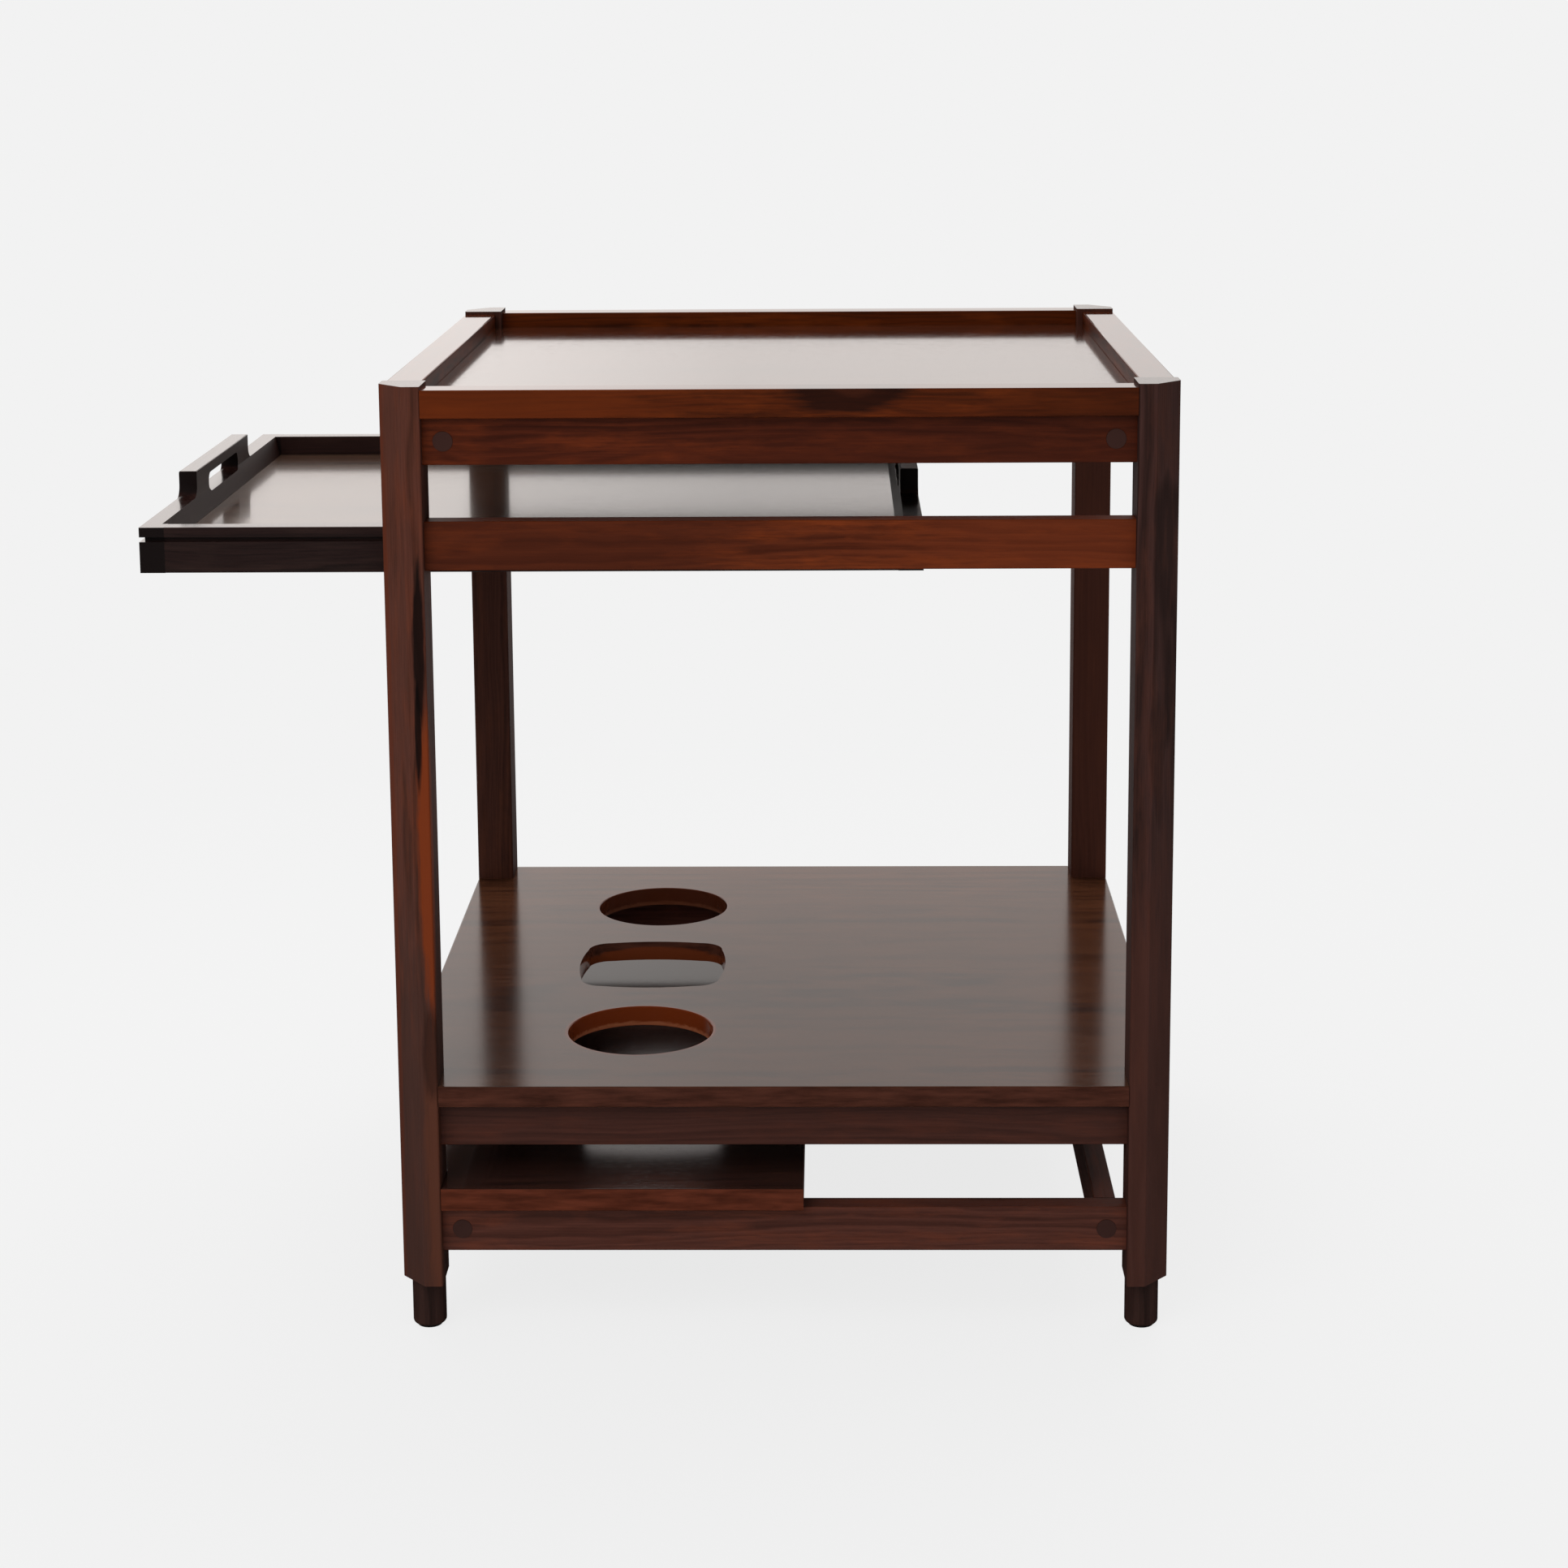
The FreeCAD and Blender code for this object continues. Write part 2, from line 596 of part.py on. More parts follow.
def make_platform():
    """Makes the platform on the low rails that the bottles stand on."""
    body = new_body("bottle_platform")
    plan = new_sketch(body, "platform_plan", "XY_Plane", "low_rail_top")
    slot_x, slot_y = "(leg_in_x - joint_gap)", "(leg_in_y - joint_gap)"
    corners = [
        (f"-{slot_x}", "-half_depth"),
        ("platform_end", "-half_depth"),
        ("platform_end", "half_depth"),
        (f"-{slot_x}", "half_depth"),
        (f"-{slot_x}", slot_y),
        ("-half_width", slot_y),
        ("-half_width", f"-{slot_y}"),
        (f"-{slot_x}", f"-{slot_y}"),
    ]
    outline(plan, [[c] for c in corners])
    pad(body, "platform_board", plan, "platform_thick")
    ease(body, "platform_eased", "edge_ease", lambda edge: not runs_along(edge, Z_AXIS))


def make_runners():
    """Makes the runners whose tongues carry the tray, and the screws that hold them."""
    screws = new_body("runner_screws")
    for front_name, fy in FRONT_BACK:
        body = new_body(f"tray_runner_{front_name}")
        low = ("-leg_in_x", low_of(fy, "runner_face_y", "rail_in_y"), "runner_base")
        block(body, f"{body.Name}_strip", low, ("2 * leg_in_x", "rail_in_y - runner_face_y", "runner_tall"))
        ease(body, f"{body.Name}_eased", "edge_ease", lambda edge: runs_along(edge, X_AXIS))
        near, far = "runner_face_y + slide_gap - groove_deep", "runner_face_y + edge_ease"
        tongue_low = ("-leg_in_x", low_of(fy, near, far), "groove_base + slide_gap")
        spans = ("2 * leg_in_x", f"{far} - ({near})", "groove_tall - 2 * slide_gap")
        block(body, f"{body.Name}_tongue", tongue_low, spans)
        for step in (-1, 0, 1):
            screw_runner(body, screws, front_name, fy, step)


def screw_runner(body, screws, front_name, fy, step):
    """Bores a runner for one of its screws, and makes the screw."""
    x, middle = f"{step} * pin_pitch", "groove_base + groove_tall / 2"
    start = "(runner_face_y + slide_gap + edge_ease)"
    outside = "(runner_face_y - groove_deep - overrun)"
    tag = f"{front_name}_{step + 2}"
    spindle(
        body, f"{body.Name}_seat_{step + 2}", (x, f"{fy} * {outside}", middle),
        "pin_head_dia / 2 + joint_gap", f"{start} - {outside} + pin_head_tall", away(-fy), cut=True,
    )
    spindle(
        body, f"{body.Name}_hole_{step + 2}", (x, f"{fy} * {outside}", middle),
        "pin_dia / 2 + joint_gap", f"rail_in_y - {outside} + overrun", away(-fy), cut=True,
    )
    spindle(
        screws, f"pin_head_{tag}", (x, f"{fy} * {start}", middle),
        "pin_head_dia / 2", "pin_head_tall", away(-fy),
    )
    spindle(
        screws, f"pin_shank_{tag}", (x, f"{fy} * {start}", middle),
        "pin_dia / 2", f"rail_in_y - {start} + pin_bite", away(-fy),
    )


def make_feet():
    """Makes the turned feet with their spigots, and the glides under them."""
    glides = new_body("foot_glides")
    for front_name, fy in FRONT_BACK:
        for side_name, sx in LEFT_RIGHT:
            make_foot(glides, f"{front_name}_{side_name}", f"{sx} * foot_x", f"{fy} * foot_y")


def make_foot(glides, corner, x, y):
    """Makes one foot with its spigot and bores, and its glide with the pin."""
    body = new_body(f"foot_{corner}")
    spindle(body, f"{body.Name}_peg", (x, y, "glide_proud"), "foot_dia / 2", "leg_base - glide_proud")
    ease(body, f"{body.Name}_eased", "foot_round", lambda edge: edge.Curve.TypeId == "Part::GeomCircle")
    spindle(
        body, f"{body.Name}_spigot", (x, y, "leg_base - foot_round"),
        "spigot_dia / 2", "spigot_long + foot_round",
    )
    spindle(
        body, f"{body.Name}_glide_seat", (x, y, "glide_proud - overrun"),
        "glide_dia / 2 + joint_gap", "glide_thick - glide_proud + overrun", cut=True,
    )
    spindle(
        body, f"{body.Name}_glide_bore", (x, y, "glide_thick - overrun"),
        "glide_pin_dia / 2 + joint_gap", "glide_pin_long + joint_gap + overrun", cut=True,
    )
    spindle(glides, f"glide_{corner}", (x, y, "0"), "glide_dia / 2", "glide_thick")
    spindle(
        glides, f"glide_pin_{corner}", (x, y, "glide_thick / 2"),
        "glide_pin_dia / 2", "glide_thick / 2 + glide_pin_long",
    )


def end_board_outline():
    """Gives the outline of a tray end board with its raised handle, in the YZ plane."""
    corners = [("-tray_half_y", "tray_base"), ("tray_half_y", "tray_base"), ("tray_half_y", "tray_rim")]
    corners += [("handle_half", "tray_rim"), ("handle_half", "handle_top")]
    corners += [("-handle_half", "handle_top"), ("-handle_half", "tray_rim"), ("-tray_half_y", "tray_rim")]
    return [[corner] for corner in corners]


def is_shoulder(edge):
    """Tells whether an edge lies in the inner corner between handle and rim."""
    middle = edge.CenterOfMass
    near = size("joint_gap")
    at_rim = abs(middle.z - size("tray_rim")) < near
    return at_rim and abs(abs(middle.y) - size("handle_half")) < near and runs_along(edge, X_AXIS)


def is_grip(edge):
    """Tells whether an edge bounds the upper face of the handle."""
    return abs(edge.CenterOfMass.z - size("handle_top")) < size("joint_gap")


def make_tray_end(side_name, sx):
    """Makes one end board of the tray, with handle, slot, taper and grooves."""
    body = new_body(f"tray_end_{side_name}", on_tray=True)
    face = new_sketch(body, f"{body.Name}_face", "YZ_Plane", low_of(sx, "tray_in_x", "half_width"))
    outline(face, end_board_outline())
    pad(body, f"{body.Name}_board", face, "tray_end_thick")
    ease(body, f"{body.Name}_coves", "handle_round", is_shoulder)
    thin_end_board(body, sx)
    ease(body, f"{body.Name}_grip", "edge_ease", is_grip)
    cut_finger_slot(body, sx)
    side_grooves(body, sx)


def thin_end_board(body, sx):
    """Slopes the inner face from the floor to the rim, and keeps it upright on the handle."""
    wedge = new_sketch(body, f"{body.Name}_taper", "XZ_Plane", "tray_in_y")
    corners = [
        ("tray_in_x", "tray_floor_top"),
        ("tray_in_x + tray_end_taper", "tray_rim"),
        ("tray_in_x + tray_end_taper", "handle_top + overrun"),
        ("tray_in_x - overrun", "handle_top + overrun"),
        ("tray_in_x - overrun", "tray_floor_top"),
    ]
    outline(wedge, [[(f"{sx} * ({x})", z)] for x, z in corners])
    pocket(body, f"{body.Name}_thinned", wedge, "2 * tray_in_y")


def cut_finger_slot(body, sx):
    """Cuts the finger slot through the end board: a box with a rod at each end."""
    low = low_of(sx, "tray_in_x - overrun", "half_width + overrun")
    base, turn = "tray_rim - slot_down", "slot_tall / 2"
    long = "tray_end_thick + 2 * overrun"
    block(
        body, f"{body.Name}_slot", (low, f"-(slot_half - {turn})", base),
        (long, f"2 * (slot_half - {turn})", "slot_tall"), cut=True,
    )
    for front_name, fy in FRONT_BACK:
        spindle(
            body, f"{body.Name}_slot_{front_name}", (low, f"{fy} * (slot_half - {turn})", f"{base} + {turn}"),
            turn, long, ALONG_X, cut=True,
        )


def side_grooves(body, sx):
    """Cuts the outer groove, the floor groove and the corner joints of an end board."""
    outer = low_of(sx, "half_width - groove_deep", "half_width + overrun")
    block(
        body, f"{body.Name}_outer_groove", (outer, "-tray_half_y - overrun", "groove_base"),
        ("groove_deep + overrun", "tray_deep + 2 * overrun", "groove_tall"), cut=True,
    )
    inner = low_of(sx, "tray_in_x - overrun", "tray_in_x + tray_floor_in + joint_gap")
    reach = "(tray_in_y + tray_floor_in + joint_gap)"
    block(
        body, f"{body.Name}_floor_groove",
        (inner, f"-{reach}", "tray_floor_top - tray_floor_thick - joint_gap"),
        ("tray_floor_in + joint_gap + overrun", f"2 * {reach}", "tray_floor_thick + 2 * joint_gap"), cut=True,
    )
    for front_name, fy in FRONT_BACK:
        cut_corner(body, sx, front_name, fy)


def cut_corner(body, sx, front_name, fy):
    """Runs the side board's groove through the end board, and cuts the seat of its tongue."""
    across = low_of(sx, "tray_in_x - overrun", "half_width + overrun")
    block(
        body, f"{body.Name}_{front_name}_groove",
        (across, low_of(fy, "tray_half_y - groove_deep", "tray_half_y + overrun"), "groove_base"),
        ("tray_end_thick + 2 * overrun", "groove_deep + overrun", "groove_tall"), cut=True,
    )
    tongue = low_of(sx, "tray_in_x - overrun", "tray_in_x + corner_tongue_long + joint_gap")
    middle, half = "tray_in_y + tray_side_thick / 2", "(corner_tongue_thick / 2 + joint_gap)"
    block(
        body, f"{body.Name}_{front_name}_corner",
        (tongue, low_of(fy, f"{middle} - {half}", f"{middle} + {half}"), "tray_base - overrun"),
        ("corner_tongue_long + joint_gap + overrun", f"2 * {half}", "groove_up + overrun + joint_gap"),
        cut=True,
    )


def make_tray_side(front_name, fy):
    """Makes one side board of the tray, with corner tongues and both grooves."""
    body = new_body(f"tray_side_{front_name}", on_tray=True)
    low = ("-tray_in_x", low_of(fy, "tray_in_y", "tray_half_y"), "tray_base")
    block(body, f"{body.Name}_board", low, ("2 * tray_in_x", "tray_side_thick", "tray_tall"))
    ease(body, f"{body.Name}_eased", "edge_ease", lambda edge: runs_along(edge, X_AXIS))
    middle = "(tray_in_y + tray_side_thick / 2)"
    block(
        body, f"{body.Name}_tongues",
        (
            "-tray_in_x - corner_tongue_long",
            low_of(fy, f"{middle} - corner_tongue_thick / 2", f"{middle} + corner_tongue_thick / 2"),
            "tray_base",
        ),
        ("2 * tray_in_x + 2 * corner_tongue_long", "corner_tongue_thick", "groove_up"),
    )
    block(
        body, f"{body.Name}_outer_groove",
        ("-half_width", low_of(fy, "tray_half_y - groove_deep", "tray_half_y + overrun"), "groove_base"),
        ("width", "groove_deep + overrun", "groove_tall"), cut=True,
    )
    block(
        body, f"{body.Name}_floor_groove",
        (
            "-tray_in_x - overrun",
            low_of(fy, "tray_in_y - overrun", "tray_in_y + tray_floor_in + joint_gap"),
            "tray_floor_top - tray_floor_thick - joint_gap",
        ),
        (
            "2 * tray_in_x + 2 * overrun", "tray_floor_in + joint_gap + overrun",
            "tray_floor_thick + 2 * joint_gap",
        ),
        cut=True,
    )


def make_tray():
    """Makes the tray: two end boards, two side boards and the floor."""
    for side_name, sx in LEFT_RIGHT:
        make_tray_end(side_name, sx)
    for front_name, fy in FRONT_BACK:
        make_tray_side(front_name, fy)
    body = new_body("tray_floor", on_tray=True)
    low = ("-tray_in_x - tray_floor_in", "-tray_in_y - tray_floor_in", "tray_floor_top - tray_floor_thick")
    block(
        body, "tray_floor_board", low,
        ("2 * (tray_in_x + tray_floor_in)", "2 * (tray_in_y + tray_floor_in)", "tray_floor_thick"),
    )


def check_model():
    """Stops the build if any object failed or any sub-part is not one or more valid solids."""
    doc.recompute()
    failed = [o.Name for o in doc.Objects if "Invalid" in o.State or "Error" in o.State]
    for body in nodes:
        if body.Shape.isNull() or not body.Shape.isValid() or not body.Shape.Solids:
            failed.append(body.Name)
    if failed:
        raise RuntimeError("these failed: " + ", ".join(failed))


def write_parts():
    """Writes each sub-part to its own file and prints its volume."""
    os.makedirs("parts", exist_ok=True)
    for body in nodes:
        body.Shape.exportStep(os.path.join("parts", body.Label + ".step"))
        print(f"{body.Label}: {len(body.Shape.Solids)} solids, {body.Shape.Volume:.0f} mm3")


fill_sheet()
for front_word, front_sign in FRONT_BACK:
    for side_word, side_sign in LEFT_RIGHT:
        make_leg(front_word, front_sign, side_word, side_sign)
make_rails()
make_side_rails()
make_rail_fasteners()
make_rims()
make_top_panel()
make_shelf()
make_platform()
make_runners()
make_feet()
make_tray()
check_model()
write_parts()
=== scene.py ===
import logging
import math
from dataclasses import dataclass, field, replace
from enum import Enum
from typing import Any

import bmesh
import bpy
from mathutils import Matrix, Vector


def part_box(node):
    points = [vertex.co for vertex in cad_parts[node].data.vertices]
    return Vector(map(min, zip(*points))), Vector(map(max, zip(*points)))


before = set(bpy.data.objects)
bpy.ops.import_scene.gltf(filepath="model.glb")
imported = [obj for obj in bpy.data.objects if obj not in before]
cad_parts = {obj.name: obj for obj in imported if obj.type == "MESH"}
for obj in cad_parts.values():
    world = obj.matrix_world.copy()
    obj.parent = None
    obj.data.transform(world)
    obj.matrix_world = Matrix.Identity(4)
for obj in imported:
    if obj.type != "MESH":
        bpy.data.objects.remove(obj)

log = logging.getLogger("serving_table")
# Metres in a millimetre.
MM = 0.001

Tree = bpy.types.NodeTree
Socket = bpy.types.NodeSocket
Point = tuple[float, float, float]

# A Mix node's inputs: its factor, its two numbers and its two colours; then the output with its colour.
FACTOR, NUMBER_A, NUMBER_B, COLOUR_A, COLOUR_B = 0, 2, 3, 6, 7
COLOUR_OUT = 2

# Where a mask or a tone starts and ends, as inputs of a Map Range node. A noise lies mostly from 0.3 to 0.7.
PORE_RANGE = {"From Min": 0.60, "From Max": 0.74}
CLOUD_RANGE = {"From Min": 0.46, "From Max": 0.70}
FIBRE_RANGE = {"From Min": 0.32, "From Max": 0.68}
POLISH_RANGE = {"From Min": 0.3, "From Max": 0.7}
LIPPING_RANGE = {"From Min": 0.35, "From Max": 0.65, "To Min": 0.65, "To Max": 1.4}
# The same for the share of a face's normal that points along the grain or up.
SAWN_RANGE = {"From Min": 0.6, "From Max": 0.85}
UPRIGHT_RANGE = {"From Min": 0.9, "From Max": 0.5}
# The same for the floor, in metres, and the room, by direction. Mirrored, both are dark behind the camera.
MIRRORED_DARK = 0.015
FLOOR_FADE = {"From Min": 0.5, "From Max": 1.5, "To Min": 0.9, "To Max": 1.0}
FLOOR_BEHIND = {"From Min": 0.5, "From Max": 1.5, "To Min": MIRRORED_DARK, "To Max": 1.0}
ROOM_BEHIND = {"From Min": 0.45, "From Max": 0.8, "To Min": MIRRORED_DARK, "To Max": 1.0}
ROOM_ASIDE = {"From Min": -0.12, "From Max": -0.03, "To Min": 1.0, "To Max": 0.8}

# Where the rings' dark, middle and pale tones stand on the scale of grey levels.
RING_PLACES = (0.22, 0.42, 0.55, 0.66, 0.82)
# The rings' slow drift, a wave every 312 mm along the grain and 62 mm across it, and a figure's ragged edge,
# with threads 25 mm long and 2.4 mm wide. Both are in waves per metre.
DRIFT_SCALE = (3.2, 16.0, 16.0)
RAGGED_SCALE = (40.0, 420.0, 420.0)
# A noise swings about a quarter to either side of its middle, so four times its swing is the full width.
NOISE_MIDDLE = (0.5, 0.5, 0.5)
WANDER_GAIN = 4
ACROSS_GRAIN = (0.0, 1.0, 1.0)
NOISE_ROUGHNESS = 0.6
DRIFT_ROUGHNESS = 0.55
NOISE_DETAIL = 3.0
PORE_DARKNESS = 0.35
RELIEF_STRENGTH = 0.5

# How a CAD node's loose triangles are joined, in millimetres, and its sharp edges rounded, in degrees.
WELD_REACH = 0.002
EDGE_SEGMENTS = 2
EDGE_ANGLE = 40.0


class Grain(Enum):
    """The way a board's grain runs, with the turn in degrees that lays it along local X."""

    ALONG_X = (0.0, 0.0, 0.0)
    ALONG_Y = (0.0, 0.0, -90.0)
    ALONG_Z = (0.0, 90.0, 0.0)


def linear(colour: str) -> tuple[float, float, float, float]:
    """Turns an sRGB hex colour into a linear one.

    Args:
        colour: six hex digits after a number sign.

    Returns:
        Linear red, green and blue, with an alpha of 1.
    """
    parts = [int(colour[i : i + 2], 16) / 255 for i in (1, 3, 5)]
    made = [p / 12.92 if p <= 0.04045 else ((p + 0.055) / 1.055) ** 2.4 for p in parts]
    return (made[0], made[1], made[2], 1.0)


def add_node(
    tree: Tree, kind: str, inputs: dict[Any, Any] | None = None, **settings: Any
) -> bpy.types.Node:
    """Adds a shader node with its settings, and fills or links its inputs.

    Args:
        tree: the node tree that the node goes into.
        kind: the node's type name.
        inputs: input name or number to a value, or to the socket that feeds it.
        settings: the node's own settings by name.

    Returns:
        The new node.
    """
    node = tree.nodes.new(kind)
    for name, value in settings.items():
        setattr(node, name, value)
    for key, value in (inputs or {}).items():
        if isinstance(value, bpy.types.NodeSocket):
            tree.links.new(value, node.inputs[key])
        else:
            node.inputs[key].default_value = value
    return node


def fill_ramp(node: bpy.types.Node, stops: list[tuple[float, str]]) -> None:
    """Sets the stops of a colour ramp.

    Args:
        node: the ramp node.
        stops: place and hex colour of each stop.
    """
    ramp = node.color_ramp
    while len(ramp.elements) < len(stops):
        ramp.elements.new(0.5)
    for element, (place, colour) in zip(ramp.elements, stops):
        element.position = place
        element.color = linear(colour)


def new_material(name: str) -> tuple[bpy.types.Material, Tree]:
    """Makes a material whose node tree is empty.

    Args:
        name: the material's name.

    Returns:
        The material and its node tree.
    """
    material = bpy.data.materials.new(name)
    material.use_nodes = True
    material.node_tree.nodes.clear()
    return material, material.node_tree


@dataclass(frozen=True)
class Patch:
    """A patch of other colour in a board: mostly a dark or pale streak of the heartwood, and in places
    painted shade.

    Its centre and reach are in millimetres in the row frame. Its edge frays over a share of its reach.
    """

    centre: Point
    reach: Point
    colour: str
    strength: float
    fray: float


Patches = tuple[Patch, ...]


@dataclass(frozen=True)
class Streak:
    """Streaks along the grain: their width in millimetres, their length in widths, and the noise's detail."""

    width: float
    stretch: float
    detail: float


# Real fibres and pores are a few times finer, and are drawn as coarse as they need to be to show.
FIBRES = Streak(0.9, 45.0, 4.0)
PORES = Streak(0.6, 12.0, 2.0)
CLOUDS = Streak(11.0, 5.0, 4.0)
LIPPING = Streak(5.0, 8.0, 4.0)


@dataclass(frozen=True)
class WoodFinish:
    """Rosewood, sawn and planed, lacquered or oiled.

    The heartwood shows as brown and dark bands that follow the growth rings, warmer clouds between them, fine
    fibres and short open pores along the grain. The sawn ends are dark, and dull where end_coat is 0. The
    rings, their wander and the relief are in millimetres. A side_roughness of 0 means that of the top, and a
    board without a lipping colour shows its sawn ends.
    """

    name: str
    pale: str
    mid: str
    dark: str
    warm: str
    clouds: float = 0.7
    ring: float = 9.0
    ring_detail: float = 2.5
    wander: float = 9.0
    contrast: float = 0.16
    roughness: float = 0.22
    polish_swing: float = 0.15
    specular: float = 0.5
    coat: float = 1.0
    coat_roughness: float = 0.15
    side_coat: float = 1.0
    side_roughness: float = 0.0
    relief: float = 0.04
    end_roughness: float = 0.62
    end_coat: float = 0.0
    lipping: str = ""

    def make(self, piece: str, grain: Grain, pith: Point, colour_patches: Patches = ()) -> bpy.types.Material:
        """Builds the material for one piece.

        Args:
            piece: the piece's name, which the material's name carries.
            grain: the way the grain runs.
            pith: where the tree's middle lies, in millimetres in the row frame.
            colour_patches: patches of other colour.

        Returns:
            The finished material.
        """
        material, tree = new_material(f"{self.name}_{piece}")
        coords = add_node(tree, "ShaderNodeTexCoord")
        placed = self.lay_grain(tree, coords.outputs["Object"], grain, pith)
        fibres = self.streaks(tree, placed, FIBRES)
        pores = self.streaks(tree, placed, PORES)
        pits = add_node(tree, "ShaderNodeMapRange", {"Value": pores, **PORE_RANGE}).outputs["Result"]
        upright = self.upright_mask(tree, coords.outputs["Normal"])
        sawn = 0.0 if self.lipping else self.end_mask(tree, coords.outputs["Normal"], grain)
        colour = self.mix_colours(tree, placed, fibres, pits)
        if self.lipping:
            colour = self.lay_lipping(tree, placed, upright, colour)
        for colour_patch in colour_patches:
            colour = self.lay_patch(tree, coords.outputs["Object"], placed, colour, colour_patch)
        ended = add_node(
            tree, "ShaderNodeMix", {FACTOR: sawn, COLOUR_A: colour, COLOUR_B: linear(self.dark)},
            data_type="RGBA",
        )
        height = add_node(tree, "ShaderNodeMath", {0: fibres, 1: pits}, operation="SUBTRACT")
        relief = add_node(
            tree, "ShaderNodeBump",
            {"Height": height.outputs[0], "Strength": RELIEF_STRENGTH, "Distance": self.relief * MM},
        )
        shader = add_node(
            tree, "ShaderNodeBsdfPrincipled",
            {
                "Base Color": ended.outputs[COLOUR_OUT],
                "Roughness": self.vary_roughness(tree, fibres, upright, sawn),
                "Normal": relief.outputs["Normal"],
                "Specular IOR Level": self.specular,
                "Coat Weight": self.vary_coat(tree, upright, sawn),
                "Coat Roughness": self.coat_roughness,
                "Coat Normal": relief.outputs["Normal"],
            },
        )
        add_node(tree, "ShaderNodeOutputMaterial", {"Surface": shader.outputs["BSDF"]})
        return material

    def vary_roughness(self, tree: Tree, fibres: Socket, upright: Socket, sawn: Socket | float) -> Socket:
        """Varies the polish with the fibres, and gives the upright faces and the sawn ends their own.

        Args:
            tree: the material's nodes.
            fibres: the fibres.
            upright: the mask of upright faces.
            sawn: the mask of sawn ends.

        Returns:
            The socket with the roughness.
        """
        swing = self.roughness * self.polish_swing
        polish = add_node(
            tree, "ShaderNodeMapRange",
            {
                "Value": fibres, **POLISH_RANGE,
                "To Min": self.roughness - swing, "To Max": self.roughness + swing,
            },
        )
        sides = add_node(
            tree, "ShaderNodeMix",
            {
                FACTOR: upright, NUMBER_A: polish.outputs["Result"],
                NUMBER_B: self.side_roughness or self.roughness,
            },
            data_type="FLOAT",
        )
        ends = add_node(
            tree, "ShaderNodeMix",
            {FACTOR: sawn, NUMBER_A: sides.outputs[0], NUMBER_B: self.end_roughness},
            data_type="FLOAT",
        )
        return ends.outputs[0]

    def vary_coat(self, tree: Tree, upright: Socket, sawn: Socket | float) -> Socket | float:
        """Thins the lacquer on the upright faces and on the sawn ends.

        Args:
            tree: the material's nodes.
            upright: the mask of upright faces.
            sawn: the mask of sawn ends.

        Returns:
            The socket with the coat's weight, or the weight itself where it is the same all over.
        """
        if not self.coat or (self.lipping and self.side_coat == 1.0):
            return self.coat
        sides = add_node(
            tree, "ShaderNodeMapRange",
            {"Value": upright, "To Min": self.coat, "To Max": self.coat * self.side_coat},
        )
        ends = add_node(
            tree, "ShaderNodeMix",
            {FACTOR: sawn, NUMBER_A: sides.outputs["Result"], NUMBER_B: self.coat * self.end_coat},
            data_type="FLOAT",
        )
        return ends.outputs[0]

    @staticmethod
    def lay_grain(tree: Tree, coords: Socket, grain: Grain, pith: Point) -> Socket:
        """Moves the tree's middle to the origin and turns the grain along X.

        Args:
            tree: the material's nodes.
            coords: the object coordinates.
            grain: the way the grain runs.
            pith: the tree's middle in millimetres.

        Returns:
            The socket with the board's own coordinates in metres.
        """
        moved = add_node(tree, "ShaderNodeMapping", {"Vector": coords, "Location": [-v * MM for v in pith]})
        turn = [math.radians(v) for v in grain.value]
        turned = add_node(tree, "ShaderNodeMapping", {"Vector": moved.outputs["Vector"], "Rotation": turn})
        return turned.outputs["Vector"]

    @staticmethod
    def end_mask(tree: Tree, normal: Socket, grain: Grain) -> Socket:
        """Finds the sawn ends, where the surface faces along the grain.

        Args:
            tree: the material's nodes.
            normal: the object's own normal.
            grain: the way the grain runs.

        Returns:
            The socket that is 1 on a sawn end.
        """
        turn = [math.radians(v) for v in grain.value]
        turned = add_node(
            tree, "ShaderNodeMapping", {"Vector": normal, "Rotation": turn}, vector_type="NORMAL",
        )
        split = add_node(tree, "ShaderNodeSeparateXYZ", {0: turned.outputs["Vector"]})
        along = add_node(tree, "ShaderNodeMath", {0: split.outputs["X"]}, operation="ABSOLUTE")
        mask = add_node(tree, "ShaderNodeMapRange", {"Value": along.outputs[0], **SAWN_RANGE})
        return mask.outputs["Result"]

    @staticmethod
    def upright_mask(tree: Tree, normal: Socket) -> Socket:
        """Finds the faces that stand upright, where the lacquer is thinner and a panel's lipping shows.

        Args:
            tree: the material's nodes.
            normal: the object's own normal.

        Returns:
            The socket that is 1 on an upright face.
        """
        split = add_node(tree, "ShaderNodeSeparateXYZ", {0: normal})
        flat = add_node(tree, "ShaderNodeMath", {0: split.outputs["Z"]}, operation="ABSOLUTE")
        mask = add_node(tree, "ShaderNodeMapRange", {"Value": flat.outputs[0], **UPRIGHT_RANGE})
        return mask.outputs["Result"]

    def lay_lipping(self, tree: Tree, placed: Socket, upright: Socket, colour: Socket) -> Socket:
        """Colours a panel's edges as the strip of solid wood that lips them.

        Args:
            tree: the material's nodes.
            placed: the board's own coordinates.
            upright: the mask of upright faces.
            colour: the colour so far.

        Returns:
            The socket with the veneer's colour on the faces and the lipping's on the edges.
        """
        streaked = self.streaks(tree, placed, LIPPING)
        tone = add_node(tree, "ShaderNodeMapRange", {"Value": streaked, **LIPPING_RANGE})
        strip = add_node(
            tree, "ShaderNodeVectorMath",
            {0: linear(self.lipping)[:3], "Scale": tone.outputs["Result"]}, operation="SCALE",
        )
        laid = add_node(
            tree, "ShaderNodeMix", {FACTOR: upright, COLOUR_A: colour, COLOUR_B: strip.outputs[0]},
            data_type="RGBA",
        )
        return laid.outputs[COLOUR_OUT]

